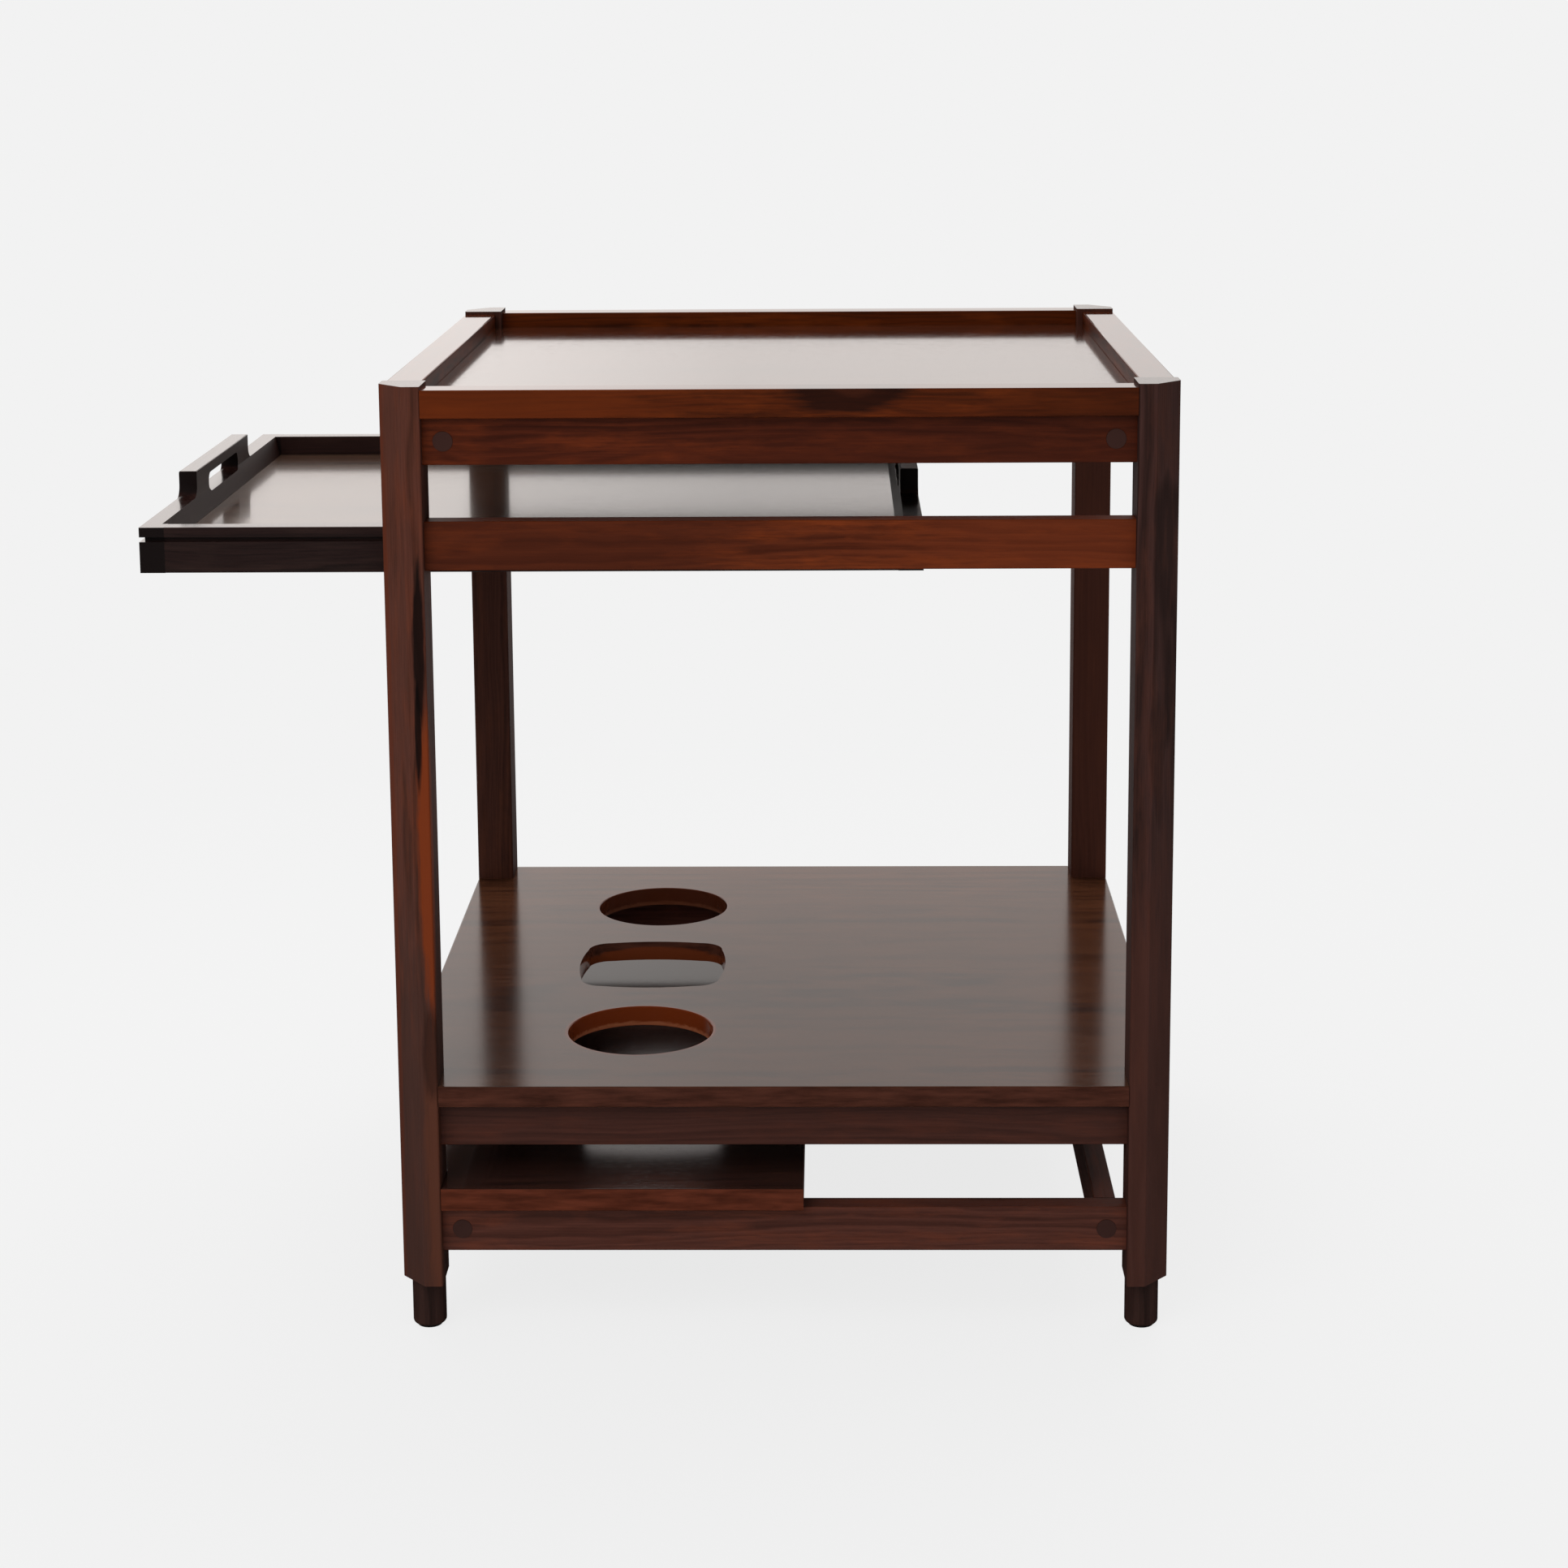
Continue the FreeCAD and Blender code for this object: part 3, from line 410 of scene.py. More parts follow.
    def ring_bands(self, tree: Tree, placed: Socket) -> Socket:
        """Makes the growth rings: uneven bands round the tree's middle that wander along the grain.

        Args:
            tree: the material's nodes.
            placed: the board's own coordinates.

        Returns:
            The socket with the bands as grey levels from 0 to 1.
        """
        slow = add_node(tree, "ShaderNodeMapping", {"Vector": placed, "Scale": DRIFT_SCALE})
        drift = add_node(
            tree, "ShaderNodeTexNoise",
            {
                "Vector": slow.outputs["Vector"], "Scale": 1.0, "Detail": NOISE_DETAIL,
                "Roughness": DRIFT_ROUGHNESS,
            },
        )
        centred = add_node(
            tree, "ShaderNodeVectorMath", {0: drift.outputs["Color"], 1: NOISE_MIDDLE}, operation="SUBTRACT",
        )
        sway = add_node(
            tree, "ShaderNodeVectorMath",
            {0: centred.outputs[0], "Scale": self.wander * WANDER_GAIN * MM}, operation="SCALE",
        )
        swayed = add_node(tree, "ShaderNodeVectorMath", {0: placed, 1: sway.outputs[0]}, operation="ADD")
        across = add_node(
            tree, "ShaderNodeVectorMath", {0: swayed.outputs[0], 1: ACROSS_GRAIN}, operation="MULTIPLY",
        )
        radius = add_node(tree, "ShaderNodeVectorMath", {0: across.outputs[0]}, operation="LENGTH")
        phase = add_node(
            tree, "ShaderNodeMath", {0: radius.outputs["Value"], 1: 1.0 / (self.ring * MM)},
            operation="MULTIPLY",
        )
        rings = add_node(
            tree, "ShaderNodeTexNoise",
            {"W": phase.outputs[0], "Scale": 1.0, "Detail": self.ring_detail, "Roughness": NOISE_ROUGHNESS},
            noise_dimensions="1D",
        )
        return rings.outputs["Fac"]

    @staticmethod
    def streaks(tree: Tree, placed: Socket, streak: Streak) -> Socket:
        """Makes streaks along the grain.

        Args:
            tree: the material's nodes.
            placed: the board's own coordinates.
            streak: the streaks' measures.

        Returns:
            The socket with the streaks as grey levels.
        """
        fine = 1.0 / (streak.width * MM)
        squeezed = add_node(
            tree, "ShaderNodeMapping", {"Vector": placed, "Scale": (fine / streak.stretch, fine, fine)},
        )
        noise = add_node(
            tree, "ShaderNodeTexNoise",
            {
                "Vector": squeezed.outputs["Vector"], "Scale": 1.0, "Detail": streak.detail,
                "Roughness": NOISE_ROUGHNESS,
            },
        )
        return noise.outputs["Fac"]

    def mix_colours(self, tree: Tree, placed: Socket, fibres: Socket, pits: Socket) -> Socket:
        """Colours the rings, lays warm clouds over them, shades them with the fibres and darkens the pores.

        Args:
            tree: the material's nodes.
            placed: the board's own coordinates.
            fibres: the fibres.
            pits: the pores, 1 inside one.

        Returns:
            The socket with the wood's colour.
        """
        ramp = add_node(tree, "ShaderNodeValToRGB", {"Fac": self.ring_bands(tree, placed)})
        tones = (self.dark, self.mid, self.pale, self.mid, self.dark)
        fill_ramp(ramp, list(zip(RING_PLACES, tones)))
        share = add_node(
            tree, "ShaderNodeMapRange",
            {"Value": self.streaks(tree, placed, CLOUDS), **CLOUD_RANGE, "To Max": self.clouds},
        )
        clouded = add_node(
            tree, "ShaderNodeMix",
            {FACTOR: share.outputs["Result"], COLOUR_A: ramp.outputs["Color"], COLOUR_B: linear(self.warm)},
            data_type="RGBA",
        )
        tone = add_node(
            tree, "ShaderNodeMapRange",
            {"Value": fibres, **FIBRE_RANGE, "To Min": 1 - self.contrast, "To Max": 1 + self.contrast},
        )
        shaded = add_node(
            tree, "ShaderNodeVectorMath",
            {0: clouded.outputs[COLOUR_OUT], "Scale": tone.outputs["Result"]}, operation="SCALE",
        )
        hollow = add_node(tree, "ShaderNodeMath", {0: pits, 1: PORE_DARKNESS}, operation="MULTIPLY")
        pored = add_node(
            tree, "ShaderNodeMix",
            {FACTOR: hollow.outputs[0], COLOUR_A: shaded.outputs[0], COLOUR_B: linear(self.dark)},
            data_type="RGBA",
        )
        return pored.outputs[COLOUR_OUT]

    @staticmethod
    def lay_patch(tree: Tree, coords: Socket, placed: Socket, colour: Socket, colour_patch: Patch) -> Socket:
        """Lays a patch of other colour over the wood, with an edge that frays along the grain.

        Args:
            tree: the material's nodes.
            coords: the object coordinates.
            placed: the board's own coordinates.
            colour: the colour so far.
            colour_patch: the patch.

        Returns:
            The socket with the colour and the patch.
        """
        centre = [v * MM for v in colour_patch.centre]
        shrink = [1.0 / (v * MM) for v in colour_patch.reach]
        moved = add_node(tree, "ShaderNodeVectorMath", {0: coords, 1: centre}, operation="SUBTRACT")
        scaled = add_node(
            tree, "ShaderNodeVectorMath", {0: moved.outputs[0], 1: shrink}, operation="MULTIPLY",
        )
        away = add_node(tree, "ShaderNodeVectorMath", {0: scaled.outputs[0]}, operation="LENGTH")
        stretched = add_node(tree, "ShaderNodeMapping", {"Vector": placed, "Scale": RAGGED_SCALE})
        ragged = add_node(
            tree, "ShaderNodeTexNoise",
            {"Vector": stretched.outputs["Vector"], "Scale": 1.0, "Detail": NOISE_DETAIL},
        )
        edge = add_node(
            tree, "ShaderNodeMath", {0: ragged.outputs["Fac"], 1: colour_patch.fray * 2, 2: -colour_patch.fray},
            operation="MULTIPLY_ADD",
        )
        reach = add_node(
            tree, "ShaderNodeMath", {0: away.outputs["Value"], 1: edge.outputs[0]}, operation="ADD",
        )
        blur = colour_patch.fray / 2
        share = add_node(
            tree, "ShaderNodeMapRange",
            {
                "Value": reach.outputs[0], "From Min": 1.0 + blur, "From Max": 1.0 - blur,
                "To Max": colour_patch.strength,
            },
        )
        laid = add_node(
            tree, "ShaderNodeMix",
            {FACTOR: share.outputs["Result"], COLOUR_A: colour, COLOUR_B: linear(colour_patch.colour)},
            data_type="RGBA",
        )
        return laid.outputs[COLOUR_OUT]


@dataclass(frozen=True)
class MetalFinish:
    """Bright-drawn steel, turned: plain grey metal with faint rings of the tool, measured in millimetres."""

    name: str = "turned_steel"
    colour: str = "#8F8D89"
    roughness: float = 0.34
    swing: float = 0.068
    mark_width: float = 0.4
    mark_length: float = 2.5
    detail: float = 2.0

    def make(self, piece: str) -> bpy.types.Material:
        """Builds the material for one piece.

        Args:
            piece: the piece's name, which the material's name carries.

        Returns:
            The finished material.
        """
        material, tree = new_material(f"{self.name}_{piece}")
        coords = add_node(tree, "ShaderNodeTexCoord")
        fine, coarse = 1.0 / (self.mark_width * MM), 1.0 / (self.mark_length * MM)
        scaled = add_node(
            tree, "ShaderNodeMapping", {"Vector": coords.outputs["Object"], "Scale": (fine, coarse, fine)},
        )
        marks = add_node(
            tree, "ShaderNodeTexNoise",
            {"Vector": scaled.outputs["Vector"], "Scale": 1.0, "Detail": self.detail},
        )
        rough = add_node(
            tree, "ShaderNodeMapRange",
            {
                "Value": marks.outputs["Fac"],
                "To Min": self.roughness - self.swing, "To Max": self.roughness + self.swing,
            },
        )
        shader = add_node(
            tree, "ShaderNodeBsdfPrincipled",
            {"Base Color": linear(self.colour), "Metallic": 1.0, "Roughness": rough.outputs["Result"]},
        )
        add_node(tree, "ShaderNodeOutputMaterial", {"Surface": shader.outputs["BSDF"]})
        return material


@dataclass(frozen=True)
class NylonFinish:
    """Moulded nylon, black: dull, with scuffs about 3 mm apart from sliding on a floor."""

    name: str = "moulded_nylon"
    colour: str = "#1B1918"
    scuffed: str = "#3A3633"
    roughness: float = 0.6
    scuffs_per_metre: float = 330.0
    detail: float = 4.0

    def make(self, piece: str) -> bpy.types.Material:
        """Builds the material for one piece.

        Args:
            piece: the piece's name, which the material's name carries.

        Returns:
            The finished material.
        """
        material, tree = new_material(f"{self.name}_{piece}")
        coords = add_node(tree, "ShaderNodeTexCoord")
        wide = add_node(
            tree, "ShaderNodeMapping",
            {"Vector": coords.outputs["Object"], "Scale": [self.scuffs_per_metre] * 3},
        )
        scuffs = add_node(
            tree, "ShaderNodeTexNoise",
            {"Vector": wide.outputs["Vector"], "Scale": 1.0, "Detail": self.detail},
        )
        ramp = add_node(tree, "ShaderNodeValToRGB", {"Fac": scuffs.outputs["Fac"]})
        fill_ramp(ramp, [(0.5, self.colour), (0.75, self.scuffed)])
        shader = add_node(
            tree, "ShaderNodeBsdfPrincipled",
            {"Base Color": ramp.outputs["Color"], "Roughness": self.roughness},
        )
        add_node(tree, "ShaderNodeOutputMaterial", {"Surface": shader.outputs["BSDF"]})
        return material


# The rim is the reddest wood: orange-brown heartwood, silky with lacquer on top and dull on its sides.
RIM_WOOD = WoodFinish(
    "lacquered_rosewood_rim", pale="#542006", mid="#421905", dark="#2B0F05", warm="#682A07",
    roughness=0.1, specular=0.1, coat_roughness=0.03, side_coat=0.0, side_roughness=0.5, relief=0.008,
)
# The top rails are red-brown heartwood with soft clouds of orange, oiled, so they mirror little.
RAIL_WOOD = WoodFinish(
    "oiled_rosewood_rail", pale="#50200F", mid="#431A0C", dark="#331309", warm="#682A0E",
    coat=0.0, roughness=0.45, specular=0.1,
)
# The tray rails are the same, more orange.
BRIGHT_WOOD = replace(
    RAIL_WOOD, name="oiled_bright_rosewood_rail",
    pale="#602912", mid="#50200D", dark="#3A1608", warm="#7C3410",
)
# The lower rails are browner and plainer.
LOW_WOOD = replace(
    RAIL_WOOD, name="oiled_rosewood_low_rail",
    pale="#573026", mid="#4B281F", dark="#3A1F18", warm="#673322", specular=0.15,
)
# The front left leg is brown and straight in the grain, with narrow dark bands and dull sides. Its sawn top
# is lacquered like the rim.
LEG_WOOD = WoodFinish(
    "lacquered_rosewood_leg", pale="#553026", mid="#48281E", dark="#321C17", warm="#613121",
    ring=6.0, wander=6.0, specular=0.08, side_coat=0.0, side_roughness=0.7, end_roughness=0.2, end_coat=1.0,
)
# The back legs are a shade darker.
BACK_WOOD = replace(
    LEG_WOOD, name="lacquered_rosewood_back_leg",
    pale="#43261E", mid="#3A2019", dark="#2A1813", warm="#4D2A1D",
)
# The front right leg is old heartwood, a dark and greyer brown.
DARK_WOOD = replace(
    LEG_WOOD, name="lacquered_dark_heartwood",
    pale="#422A26", mid="#38231F", dark="#2A1A17", warm="#4A2A21",
)
# The tray's boards are nearly black heartwood, handled until their upright faces are dull.
TRAY_WOOD = WoodFinish(
    "worn_dark_heartwood", pale="#2D1916", mid="#251513", dark="#1B1110", warm="#34201A",
    ring=6.0, wander=6.0, side_coat=0.0, side_roughness=0.5, end_roughness=0.5,
)
# Rosewood veneer under a polished clear lacquer: it mirrors the room at a low angle. Its edge is lipped.
GLOSS_VENEER = WoodFinish(
    "polished_lacquered_veneer", pale="#4A2A1E", mid="#3A2018", dark="#281611", warm="#56301F",
    roughness=0.1, coat_roughness=0.06, relief=0.012, lipping="#452016",
)
# The tray's floor has a paler veneer, worn to a softer shine by what is set down on it.
TRAY_VENEER = WoodFinish(
    "worn_lacquered_veneer", pale="#5E4638", mid="#4E382C", dark="#3A281F", warm="#664A3A",
    roughness=0.24, specular=0.6, coat_roughness=0.1, relief=0.01, lipping="#452016",
)
# Rosewood veneer under a satin lacquer: the legs show in it as blurred shapes. Its edge is lipped.
SATIN_VENEER = WoodFinish(
    "satin_lacquered_veneer", pale="#50301F", mid="#422618", dark="#2C1A13", warm="#5A3522",
    roughness=0.15, coat=0.0, relief=0.02, lipping="#46261C",
)
# The platform's veneer is darker and more polished, and its edge is lipped.
PLATFORM_VENEER = WoodFinish(
    "polished_platform_veneer", pale="#37211C", mid="#2D1B17", dark="#221613", warm="#3E251D",
    roughness=0.12, coat=0.0, relief=0.015, lipping="#54281A",
)
# The feet are turned pegs of stained hardwood, dark and dull.
PEG_WOOD = WoodFinish(
    "stained_turned_peg", pale="#3A2520", mid="#301E1A", dark="#241714", warm="#40271F",
    ring=3.0, wander=3.0, roughness=0.45, specular=0.15, coat=0.0,
)
# The plugs are cut from the same wood as the rails, and show as dark discs, because their ends drank the oil.
PLUG_WOOD = WoodFinish(
    "oiled_rosewood_plug", pale="#41261F", mid="#39201A", dark="#3C241F", warm="#46281D",
    ring=3.0, wander=3.0, specular=0.15, coat=0.0, end_roughness=0.45,
)
STEEL = MetalFinish()
NYLON = NylonFinish()


def dress(node: str, material: bpy.types.Material) -> None:
    """Gives a CAD node its material.

    Args:
        node: the node's name.
        material: what it gets.
    """
    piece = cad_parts[node]
    if not piece.material_slots:
        piece.data.materials.append(material)
    for place in piece.material_slots:
        place.material = material
    log.info("dressed %s with %s", node, material.name)


def ease_edges(node: str, width: float) -> None:
    """Takes the sharp edges off a CAD node with modifiers, as a maker sands them.

    Args:
        node: the node's name.
        width: how wide the softened edge is, in millimetres.
    """
    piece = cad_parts[node]
    weld = piece.modifiers.new("join_faces", "WELD")
    weld.merge_threshold = WELD_REACH * MM
    bevel = piece.modifiers.new("sanded_edges", "BEVEL")
    bevel.width = width * MM
    bevel.segments = EDGE_SEGMENTS
    bevel.limit_method = "ANGLE"
    bevel.angle_limit = math.radians(EDGE_ANGLE)
    bevel.use_clamp_overlap = True
    bevel.material = -1


@dataclass
class SubAssembly:
    """A group of CAD nodes that are dressed together. Their softened edges are so many millimetres wide."""

    softened: float = 0.5

    def finish_board(
        self, node: str, finish: WoodFinish, grain: Grain, pith: Point, colour_patches: Patches = ()
    ) -> None:
        """Dresses one board and softens its edges.

        Args:
            node: the board's CAD node.
            finish: its wood.
            grain: the way its grain runs.
            pith: the tree's middle, in millimetres from the board's own middle.
            colour_patches: patches of other colour, in millimetres in the row frame.
        """
        low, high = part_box(node)
        middle = (low + high) / 2 / MM
        place = tuple(m + p for m, p in zip(middle, pith))
        dress(node, finish.make(node, grain, place, colour_patches))
        ease_edges(node, self.softened)


@dataclass
class LegFrame(SubAssembly):
    """The legs and the rails between them.

    All sizes are in millimetres: the table's middle and half sizes, a leg's inner edge and middle from its
    outer face, a rail's middle from the leg's front, and the way from each leg to its tree's middle.
    """

    table_x: float = 89.0
    half_width: float = 280.0
    half_depth: float = 285.0
    leg_edge: float = 30.0
    leg_middle: float = 18.0
    rail_middle: float = 10.0
    leg_piths: dict[str, Point] = field(default_factory=lambda: {
        "leg_front_left": (46.0, 38.0, 0.0),
        "leg_front_right": (-60.0, 52.0, 0.0),
        "leg_back_left": (38.0, -60.0, 0.0),
        "leg_back_right": (-44.0, -48.0, 0.0),
    })

    def build(self) -> None:
        """Dresses the legs, the long rails and the side rails."""
        self.dress_legs()
        self.dress_long_rails()
        self.dress_side_rails()

    def leg_figures(self) -> dict[str, Patches]:
        """Gives the streaks and clouds that show on the front legs and the right back leg.

        Returns:
            Node name to its patches.
        """
        inner = self.table_x - self.half_width + self.leg_edge
        front = -self.half_depth
        right = self.table_x + self.half_width - self.leg_middle
        return {
            "leg_front_left": (
                Patch((inner, front + 10.0, 110.0), (60.0, 60.0, 200.0), "#3E2B26", 0.6, 0.5),
                Patch((inner, front, 130.0), (9.0, 12.0, 120.0), "#5E3424", 0.6, 0.5),
                Patch((inner - 30.0, front + 20.0, 380.0), (5.0, 7.0, 420.0), "#5E2814", 0.55, 0.3),
                Patch((inner, front, 360.0), (8.0, 12.0, 110.0), "#783212", 0.85, 0.4),
                Patch((inner - 4.0, front, 516.0), (4.0, 12.0, 56.0), "#120B0A", 0.9, 0.4),
                Patch((inner - 6.0, front, 452.0), (2.2, 12.0, 40.0), "#120B0A", 0.9, 0.4),
                Patch((inner - 3.0, front, 216.0), (6.0, 12.0, 34.0), "#291712", 0.6, 0.4),
            ),
            "leg_front_right": (Patch((right, front, 150.0), (40.0, 60.0, 190.0), "#4C2C24", 0.6, 0.5),),
            "leg_back_right": (Patch((right, -front, 420.0), (60.0, 70.0, 340.0), "#4E2A20", 0.6, 0.5),),
        }

    def dress_legs(self) -> None:
        """Dresses the four legs, the right front one in the darkest wood."""
        colour_patches = self.leg_figures()
        finishes = {"leg_front_left": LEG_WOOD, "leg_front_right": DARK_WOOD}
        for node, pith in self.leg_piths.items():
            finish = finishes.get(node, BACK_WOOD)
            self.finish_board(node, finish, Grain.ALONG_Z, pith, colour_patches.get(node, ()))

    def rail_clouds_and_shade(self) -> dict[str, Patches]:
        """Gives the broad darker and redder clouds of the front rails, and the painted shade that darkens the
        whole front shelf apron under the shelf's overhang.

        Returns:
            Node name to its clouds, and for the shelf apron its painted shade.
        """
        front = -self.half_depth + self.rail_middle
        return {
            "top_rail_front": (Patch((290.0, front, 650.0), (240.0, 60.0, 70.0), "#3C170C", 0.45, 0.6),),
            "tray_rail_front": (
                Patch((-120.0, front, 585.0), (190.0, 60.0, 60.0), "#431C0F", 0.6, 0.5),
                Patch((310.0, front, 585.0), (130.0, 60.0, 60.0), "#6E2E14", 0.5, 0.6),
            ),
            # Painted shade: the whole front apron is darkened to a grey brown, centred on the shelf's
            # underside, where the shelf's overhanging edge shades it.
            "shelf_apron_front": (
                Patch((self.table_x, front, 175.0), (420.0, 60.0, 60.0), "#38211C", 0.5, 0.4),
            ),
        }

    def dress_long_rails(self) -> None:
        """Dresses the front and back rails of every level."""
        colour_patches = self.rail_clouds_and_shade()
        levels = (
            ("top_rail", RAIL_WOOD, -46.0), ("tray_rail", BRIGHT_WOOD, 52.0),
            ("shelf_apron", LOW_WOOD, -64.0), ("low_rail", LOW_WOOD, 58.0),
        )
        for level, finish, lift in levels:
            for side, turn in (("front", 1.0), ("back", -1.0)):
                node = f"{level}_{side}"
                pith = (0.0, 40.0 * turn, lift)
                self.finish_board(node, finish, Grain.ALONG_X, pith, colour_patches.get(node, ()))

    def dress_side_rails(self) -> None:
        """Dresses the rails that run from front to back."""
        for level, lift in (("top_side_rail", 50.0), ("shelf_bearer", -44.0), ("low_side_rail", 60.0)):
            for side, turn in (("left", 1.0), ("right", -1.0)):
                self.finish_board(f"{level}_{side}", LOW_WOOD, Grain.ALONG_Y, (36.0 * turn, 0.0, lift))


@dataclass
class RecessedTop(SubAssembly):
    """The rim boards, the glossy panel and the cleats under it.

    The rim's top, its front face and the dark eye in it are in millimetres in the row frame.
    """

    rim_z: float = 696.0
    front_y: float = -285.0
    eye_x: float = 136.0

    def rim_figures(self) -> Patches:
        """Gives the front rim's orange glow, the shade at its right, and the dark eye with its paler heart.

        Returns:
            The patches, each laid over the one before.
        """
        front, top = self.front_y, self.rim_z
        return (
            Patch((-120.0, front, top - 10.0), (120.0, 60.0, 40.0), "#642707", 0.6, 0.5),
            Patch((330.0, front, top - 10.0), (80.0, 60.0, 40.0), "#381404", 0.5, 0.5),
            Patch((self.eye_x, front, top + 1.0), (40.0, 60.0, 19.0), "#240F09", 0.85, 0.35),
            Patch((self.eye_x + 4.0, front, top), (14.0, 60.0, 5.0), "#4A200F", 0.45, 0.6),
        )

    def build(self) -> None:
        """Dresses the rim boards, the panel and its cleats."""
        self.finish_board("rim_front", RIM_WOOD, Grain.ALONG_X, (0.0, 26.0, -44.0), self.rim_figures())
        self.finish_board("rim_back", RIM_WOOD, Grain.ALONG_X, (0.0, -30.0, -52.0))
        self.finish_board("rim_left", RIM_WOOD, Grain.ALONG_Y, (30.0, 0.0, -48.0))
        self.finish_board("rim_right", RIM_WOOD, Grain.ALONG_Y, (-34.0, 0.0, -40.0))
        self.finish_board("top_panel", GLOSS_VENEER, Grain.ALONG_X, (0.0, 60.0, -190.0))
        for side in ("front", "back"):
            self.finish_board(f"panel_cleat_{side}", LEG_WOOD, Grain.ALONG_X, (0.0, 20.0, -30.0))


@dataclass
class LowShelf(SubAssembly):
    """The shelf with its wells and the platform below them.

    All sizes are in millimetres. The colour of a round well's wall is centred wall_drop below the shelf's top
    and reaches wall_reach past the well, and that of its lower edge reaches edge_reach past it.
    """

    softened: float = 0.4
    well_x: float = -21.0
    well_y: float = 161.0
    well_radius: float = 55.0
    shelf_top: float = 190.5
    shelf_base: float = 175.0
    wall_drop: float = 8.6
    wall_reach: float = 3.0
    edge_reach: float = 2.5

    def well_colours_and_shade(self) -> Patches:
        """Gives the brown walls of the three wells, and the paler lower edges of the round ones. The back
        round well has the front one's wall and edge painted darker, as painted shade.

        Returns:
            The patches, which stay close to the wells.
        """
        wall = (self.well_radius + self.wall_reach, self.well_radius + self.wall_reach, 60.0)
        edge = (self.well_radius + self.edge_reach, self.well_radius + self.edge_reach, 11.0)
        depth = self.shelf_top - self.wall_drop
        made = [Patch((self.well_x, 0.0, self.shelf_base), (76.0, 76.0, 18.0), "#70341A", 0.9, 0.06)]
        # The front well's colours, then the back well's: the same wall and edge, painted darker as shade.
        for y, brown, pale in ((-self.well_y, "#742F0F", "#9C5C3E"), (self.well_y, "#4E2414", "#6C3E2A")):
            made.append(Patch((self.well_x, y, depth), wall, brown, 0.9, 0.02))
            made.append(Patch((self.well_x, y, self.shelf_base), edge, pale, 0.85, 0.06))
        return tuple(made)

    def build(self) -> None:
        """Dresses the shelf and the platform."""
        colour_patches = self.well_colours_and_shade()
        self.finish_board("shelf_panel", SATIN_VENEER, Grain.ALONG_X, (0.0, -70.0, -230.0), colour_patches)
        self.finish_board("bottle_platform", PLATFORM_VENEER, Grain.ALONG_X, (0.0, 40.0, -180.0))


@dataclass
class SlidingTray(SubAssembly):
    """The tray and the runners that carry it."""

    softened: float = 0.6

    def build(self) -> None:
        """Dresses the tray's boards and floor, and the runners."""
        for side, turn in (("front", 1.0), ("back", -1.0)):
            self.finish_board(f"tray_side_{side}", TRAY_WOOD, Grain.ALONG_X, (0.0, 34.0 * turn, -40.0))
            self.finish_board(f"tray_runner_{side}", LEG_WOOD, Grain.ALONG_X, (0.0, 30.0 * turn, 26.0))
        for side, turn in (("left", 1.0), ("right", -1.0)):
            self.finish_board(f"tray_end_{side}", TRAY_WOOD, Grain.ALONG_Y, (36.0 * turn, 0.0, -50.0))
        self.finish_board("tray_floor", TRAY_VENEER, Grain.ALONG_X, (0.0, -50.0, -200.0))


@dataclass
class FeetAndFastenings(SubAssembly):
    """The turned feet, the glides, the plugs and the screws. Only the feet have softened edges."""

    def build(self) -> None:
        """Dresses the small pieces."""
        for side in ("front", "back"):
            for hand in ("left", "right"):
                self.finish_board(f"foot_{side}_{hand}", PEG_WOOD, Grain.ALONG_Z, (6.0, 4.0, 0.0))
        dress("foot_glides", NYLON.make("glides"))
        dress("rail_plugs", PLUG_WOOD.make("plugs", Grain.ALONG_Y, (30.0, 0.0, 400.0)))
        dress("rail_screws", STEEL.make("rail_screws"))
        dress("runner_screws", STEEL.make("runner_screws"))


@dataclass(frozen=True)
class Lamp:
    """A soft lamp: where it hangs, its width and height, all in millimetres, and its power in watts."""

    name: str
    place: Point
    size: tuple[float, float]
    watts: float


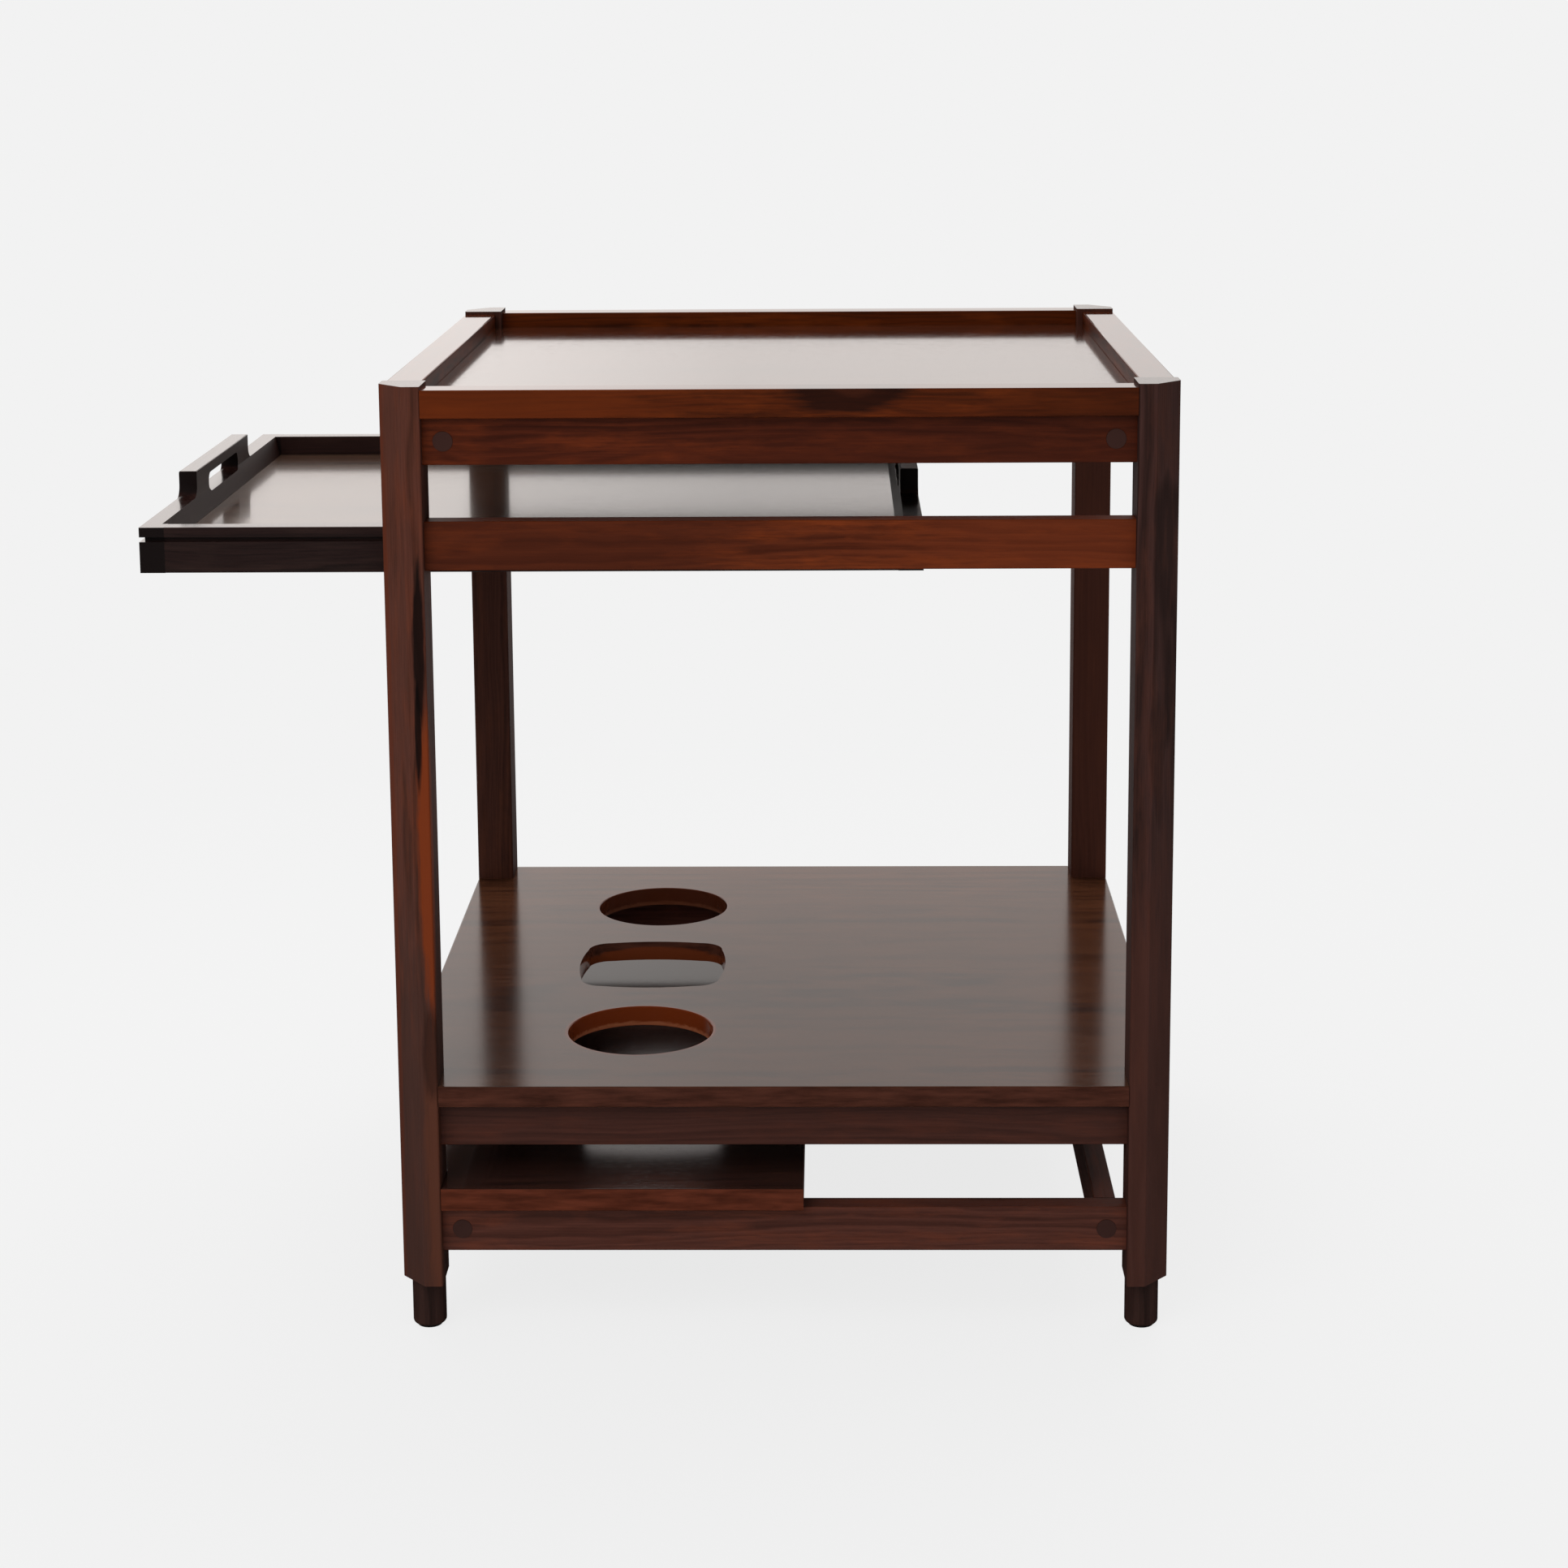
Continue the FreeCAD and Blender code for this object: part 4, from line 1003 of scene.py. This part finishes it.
@dataclass
class Studio:
    """The pale floor, the room's light, the lamps and the camera.

    The floor reaches floor_reach metres to each side. The eye and the lamps' target are in millimetres, the
    focal length in pixels of a picture image_pixels wide, the sensor in millimetres, the lens's shift in
    picture widths, the angles in radians, and near and far in metres.
    """

    paper: str = "#F2F2F2"
    mirrored_paper: str = "#FFF8F4"
    room_light: float = 0.55
    floor_reach: float = 12.0
    lamps: tuple[Lamp, ...] = (
        Lamp("window_lamp", (-1100.0, -2300.0, 2300.0), (2200.0, 2200.0), 41.0),
        Lamp("top_lamp", (0.0, 1500.0, 2600.0), (3200.0, 1800.0), 60.0),
    )
    lamp_target: Point = (89.0, 0.0, 400.0)
    focal_pixels: float = 3725.2
    image_pixels: float = 1932.0
    sensor: float = 36.0
    shift_share: float = -0.16
    eye: Point = (124.9, -2360.8, 953.4)
    yaw: float = 0.0157
    pitch: float = 0.1710
    roll: float = -0.0063
    near: float = 0.05
    far: float = 60.0

    def build(self) -> None:
        """Sets up the floor, the world, the lamps, the camera and the view transform."""
        bpy.context.scene.view_settings.view_transform = "Standard"
        self.lay_floor()
        self.light_room()
        for lamp in self.lamps:
            self.hang_lamp(lamp)
        self.set_camera()

    @staticmethod
    def mirrored_share(tree: Tree, rays: bpy.types.Node) -> Socket:
        """Finds the rays that a mirror or glass sends out.

        Args:
            tree: the nodes of the floor's material or of the world.
            rays: the Light Path node.

        Returns:
            The socket that is 1 for such a ray.
        """
        mirrored = add_node(
            tree, "ShaderNodeMath",
            {0: rays.outputs["Is Glossy Ray"], 1: rays.outputs["Is Transmission Ray"]}, operation="MAXIMUM",
        )
        return mirrored.outputs[0]

    def lay_floor(self) -> None:
        """Lays a pale floor that keeps the object's soft shadow and fades into the backdrop."""
        sheet = bmesh.new()
        bmesh.ops.create_grid(sheet, x_segments=1, y_segments=1, size=self.floor_reach)
        mesh = bpy.data.meshes.new("studio_floor")
        sheet.to_mesh(mesh)
        sheet.free()
        floor = bpy.data.objects.new("studio_floor", mesh)
        bpy.context.scene.collection.objects.link(floor)
        floor.data.materials.append(self.paint_floor())

    def paint_floor(self) -> bpy.types.Material:
        """Makes the floor's matt paper, which shows the camera the backdrop's tone and some of the shadow.

        Returns:
            The finished material.
        """
        material, tree = new_material("matt_paper_floor")
        material.cycles.emission_sampling = "NONE"
        coords = add_node(tree, "ShaderNodeTexCoord")
        apart = add_node(tree, "ShaderNodeVectorMath", {0: coords.outputs["Object"]}, operation="LENGTH")
        fade = add_node(tree, "ShaderNodeMapRange", {"Value": apart.outputs["Value"], **FLOOR_FADE})
        split = add_node(tree, "ShaderNodeSeparateXYZ", {0: coords.outputs["Object"]})
        behind = add_node(tree, "ShaderNodeMapRange", {"Value": split.outputs["Y"], **FLOOR_BEHIND})
        rays = add_node(tree, "ShaderNodeLightPath")
        mirrored = self.mirrored_share(tree, rays)
        seen = add_node(
            tree, "ShaderNodeMath", {0: rays.outputs["Is Camera Ray"], 1: fade.outputs["Result"]},
            operation="MULTIPLY",
        )
        share = add_node(tree, "ShaderNodeMath", {0: seen.outputs[0], 1: mirrored}, operation="MAXIMUM")
        strength = add_node(
            tree, "ShaderNodeMix", {FACTOR: mirrored, NUMBER_A: 1.0, NUMBER_B: behind.outputs["Result"]},
            data_type="FLOAT",
        )
        paper = add_node(tree, "ShaderNodeBsdfDiffuse", {"Color": linear(self.paper)})
        glow = add_node(
            tree, "ShaderNodeEmission", {"Color": linear(self.paper), "Strength": strength.outputs[0]},
        )
        mixed = add_node(
            tree, "ShaderNodeMixShader", {0: share.outputs[0], 1: paper.outputs[0], 2: glow.outputs[0]},
        )
        add_node(tree, "ShaderNodeOutputMaterial", {"Surface": mixed.outputs[0]})
        return material

    def light_room(self) -> None:
        """Makes the room: pale where it is seen, plain for light, and in reflections dark behind the camera.

        In reflections it is also a little paler at the left, where the window is.
        """
        world = bpy.data.worlds.new("pale_room")
        bpy.context.scene.world = world
        world.use_nodes = True
        world.cycles.sampling_method = "NONE"
        tree = world.node_tree
        tree.nodes.clear()
        coords = add_node(tree, "ShaderNodeTexCoord")
        split = add_node(tree, "ShaderNodeSeparateXYZ", {0: coords.outputs["Generated"]})
        behind = add_node(tree, "ShaderNodeMapRange", {"Value": split.outputs["Y"], **ROOM_BEHIND})
        aside = add_node(tree, "ShaderNodeMapRange", {"Value": split.outputs["X"], **ROOM_ASIDE})
        room = add_node(
            tree, "ShaderNodeMath", {0: behind.outputs["Result"], 1: aside.outputs["Result"]},
            operation="MULTIPLY",
        )
        rays = add_node(tree, "ShaderNodeLightPath")
        mirrored = self.mirrored_share(tree, rays)
        plain = add_node(
            tree, "ShaderNodeMix", {FACTOR: mirrored, NUMBER_A: self.room_light, NUMBER_B: room.outputs[0]},
            data_type="FLOAT",
        )
        strength = add_node(
            tree, "ShaderNodeMix",
            {FACTOR: rays.outputs["Is Camera Ray"], NUMBER_A: plain.outputs[0], NUMBER_B: 1.0},
            data_type="FLOAT",
        )
        shade = add_node(
            tree, "ShaderNodeMix",
            {FACTOR: mirrored, COLOUR_A: linear(self.paper), COLOUR_B: linear(self.mirrored_paper)},
            data_type="RGBA",
        )
        paint = add_node(
            tree, "ShaderNodeBackground",
            {"Color": shade.outputs[COLOUR_OUT], "Strength": strength.outputs[0]},
        )
        add_node(tree, "ShaderNodeOutputWorld", {"Surface": paint.outputs[0]})

    def hang_lamp(self, lamp: Lamp) -> None:
        """Hangs a soft lamp that faces the table and doesn't show in reflections.

        Args:
            lamp: the lamp's name, place, size and power.
        """
        light = bpy.data.lights.new(lamp.name, "AREA")
        light.shape = "RECTANGLE"
        light.size, light.size_y = (side * MM for side in lamp.size)
        light.energy = lamp.watts
        hung = bpy.data.objects.new(lamp.name, light)
        hung.visible_glossy = False
        hung.location = Vector(lamp.place) * MM
        target = Vector(self.lamp_target) * MM
        hung.rotation_euler = (target - hung.location).to_track_quat("-Z", "Y").to_euler()
        bpy.context.scene.collection.objects.link(hung)

    def set_camera(self) -> None:
        """Places the camera as the camera fit to the photograph gives it."""
        lens = bpy.data.cameras.new("photo_camera")
        lens.sensor_width = self.sensor
        lens.lens = self.focal_pixels / self.image_pixels * self.sensor
        lens.shift_y = self.shift_share
        lens.clip_start = self.near
        lens.clip_end = self.far
        camera = bpy.data.objects.new("photo_camera", lens)
        turn = Matrix.Identity(4)
        for angle, axis in ((self.yaw, "Z"), (math.pi / 2 - self.pitch, "X"), (self.roll, "Z")):
            turn = turn @ Matrix.Rotation(angle, 4, axis)
        camera.matrix_world = Matrix.Translation(Vector(self.eye) * MM) @ turn
        bpy.context.scene.collection.objects.link(camera)
        bpy.context.scene.camera = camera


def main() -> None:
    """Builds the scene in order."""
    logging.basicConfig(level=logging.INFO, format="%(name)s: %(message)s")
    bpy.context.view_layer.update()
    for part in (LegFrame(), RecessedTop(), LowShelf(), SlidingTray(), FeetAndFastenings()):
        part.build()
        log.info("built %s", type(part).__name__)
    Studio().build()


if __name__ == "__main__":
    main()
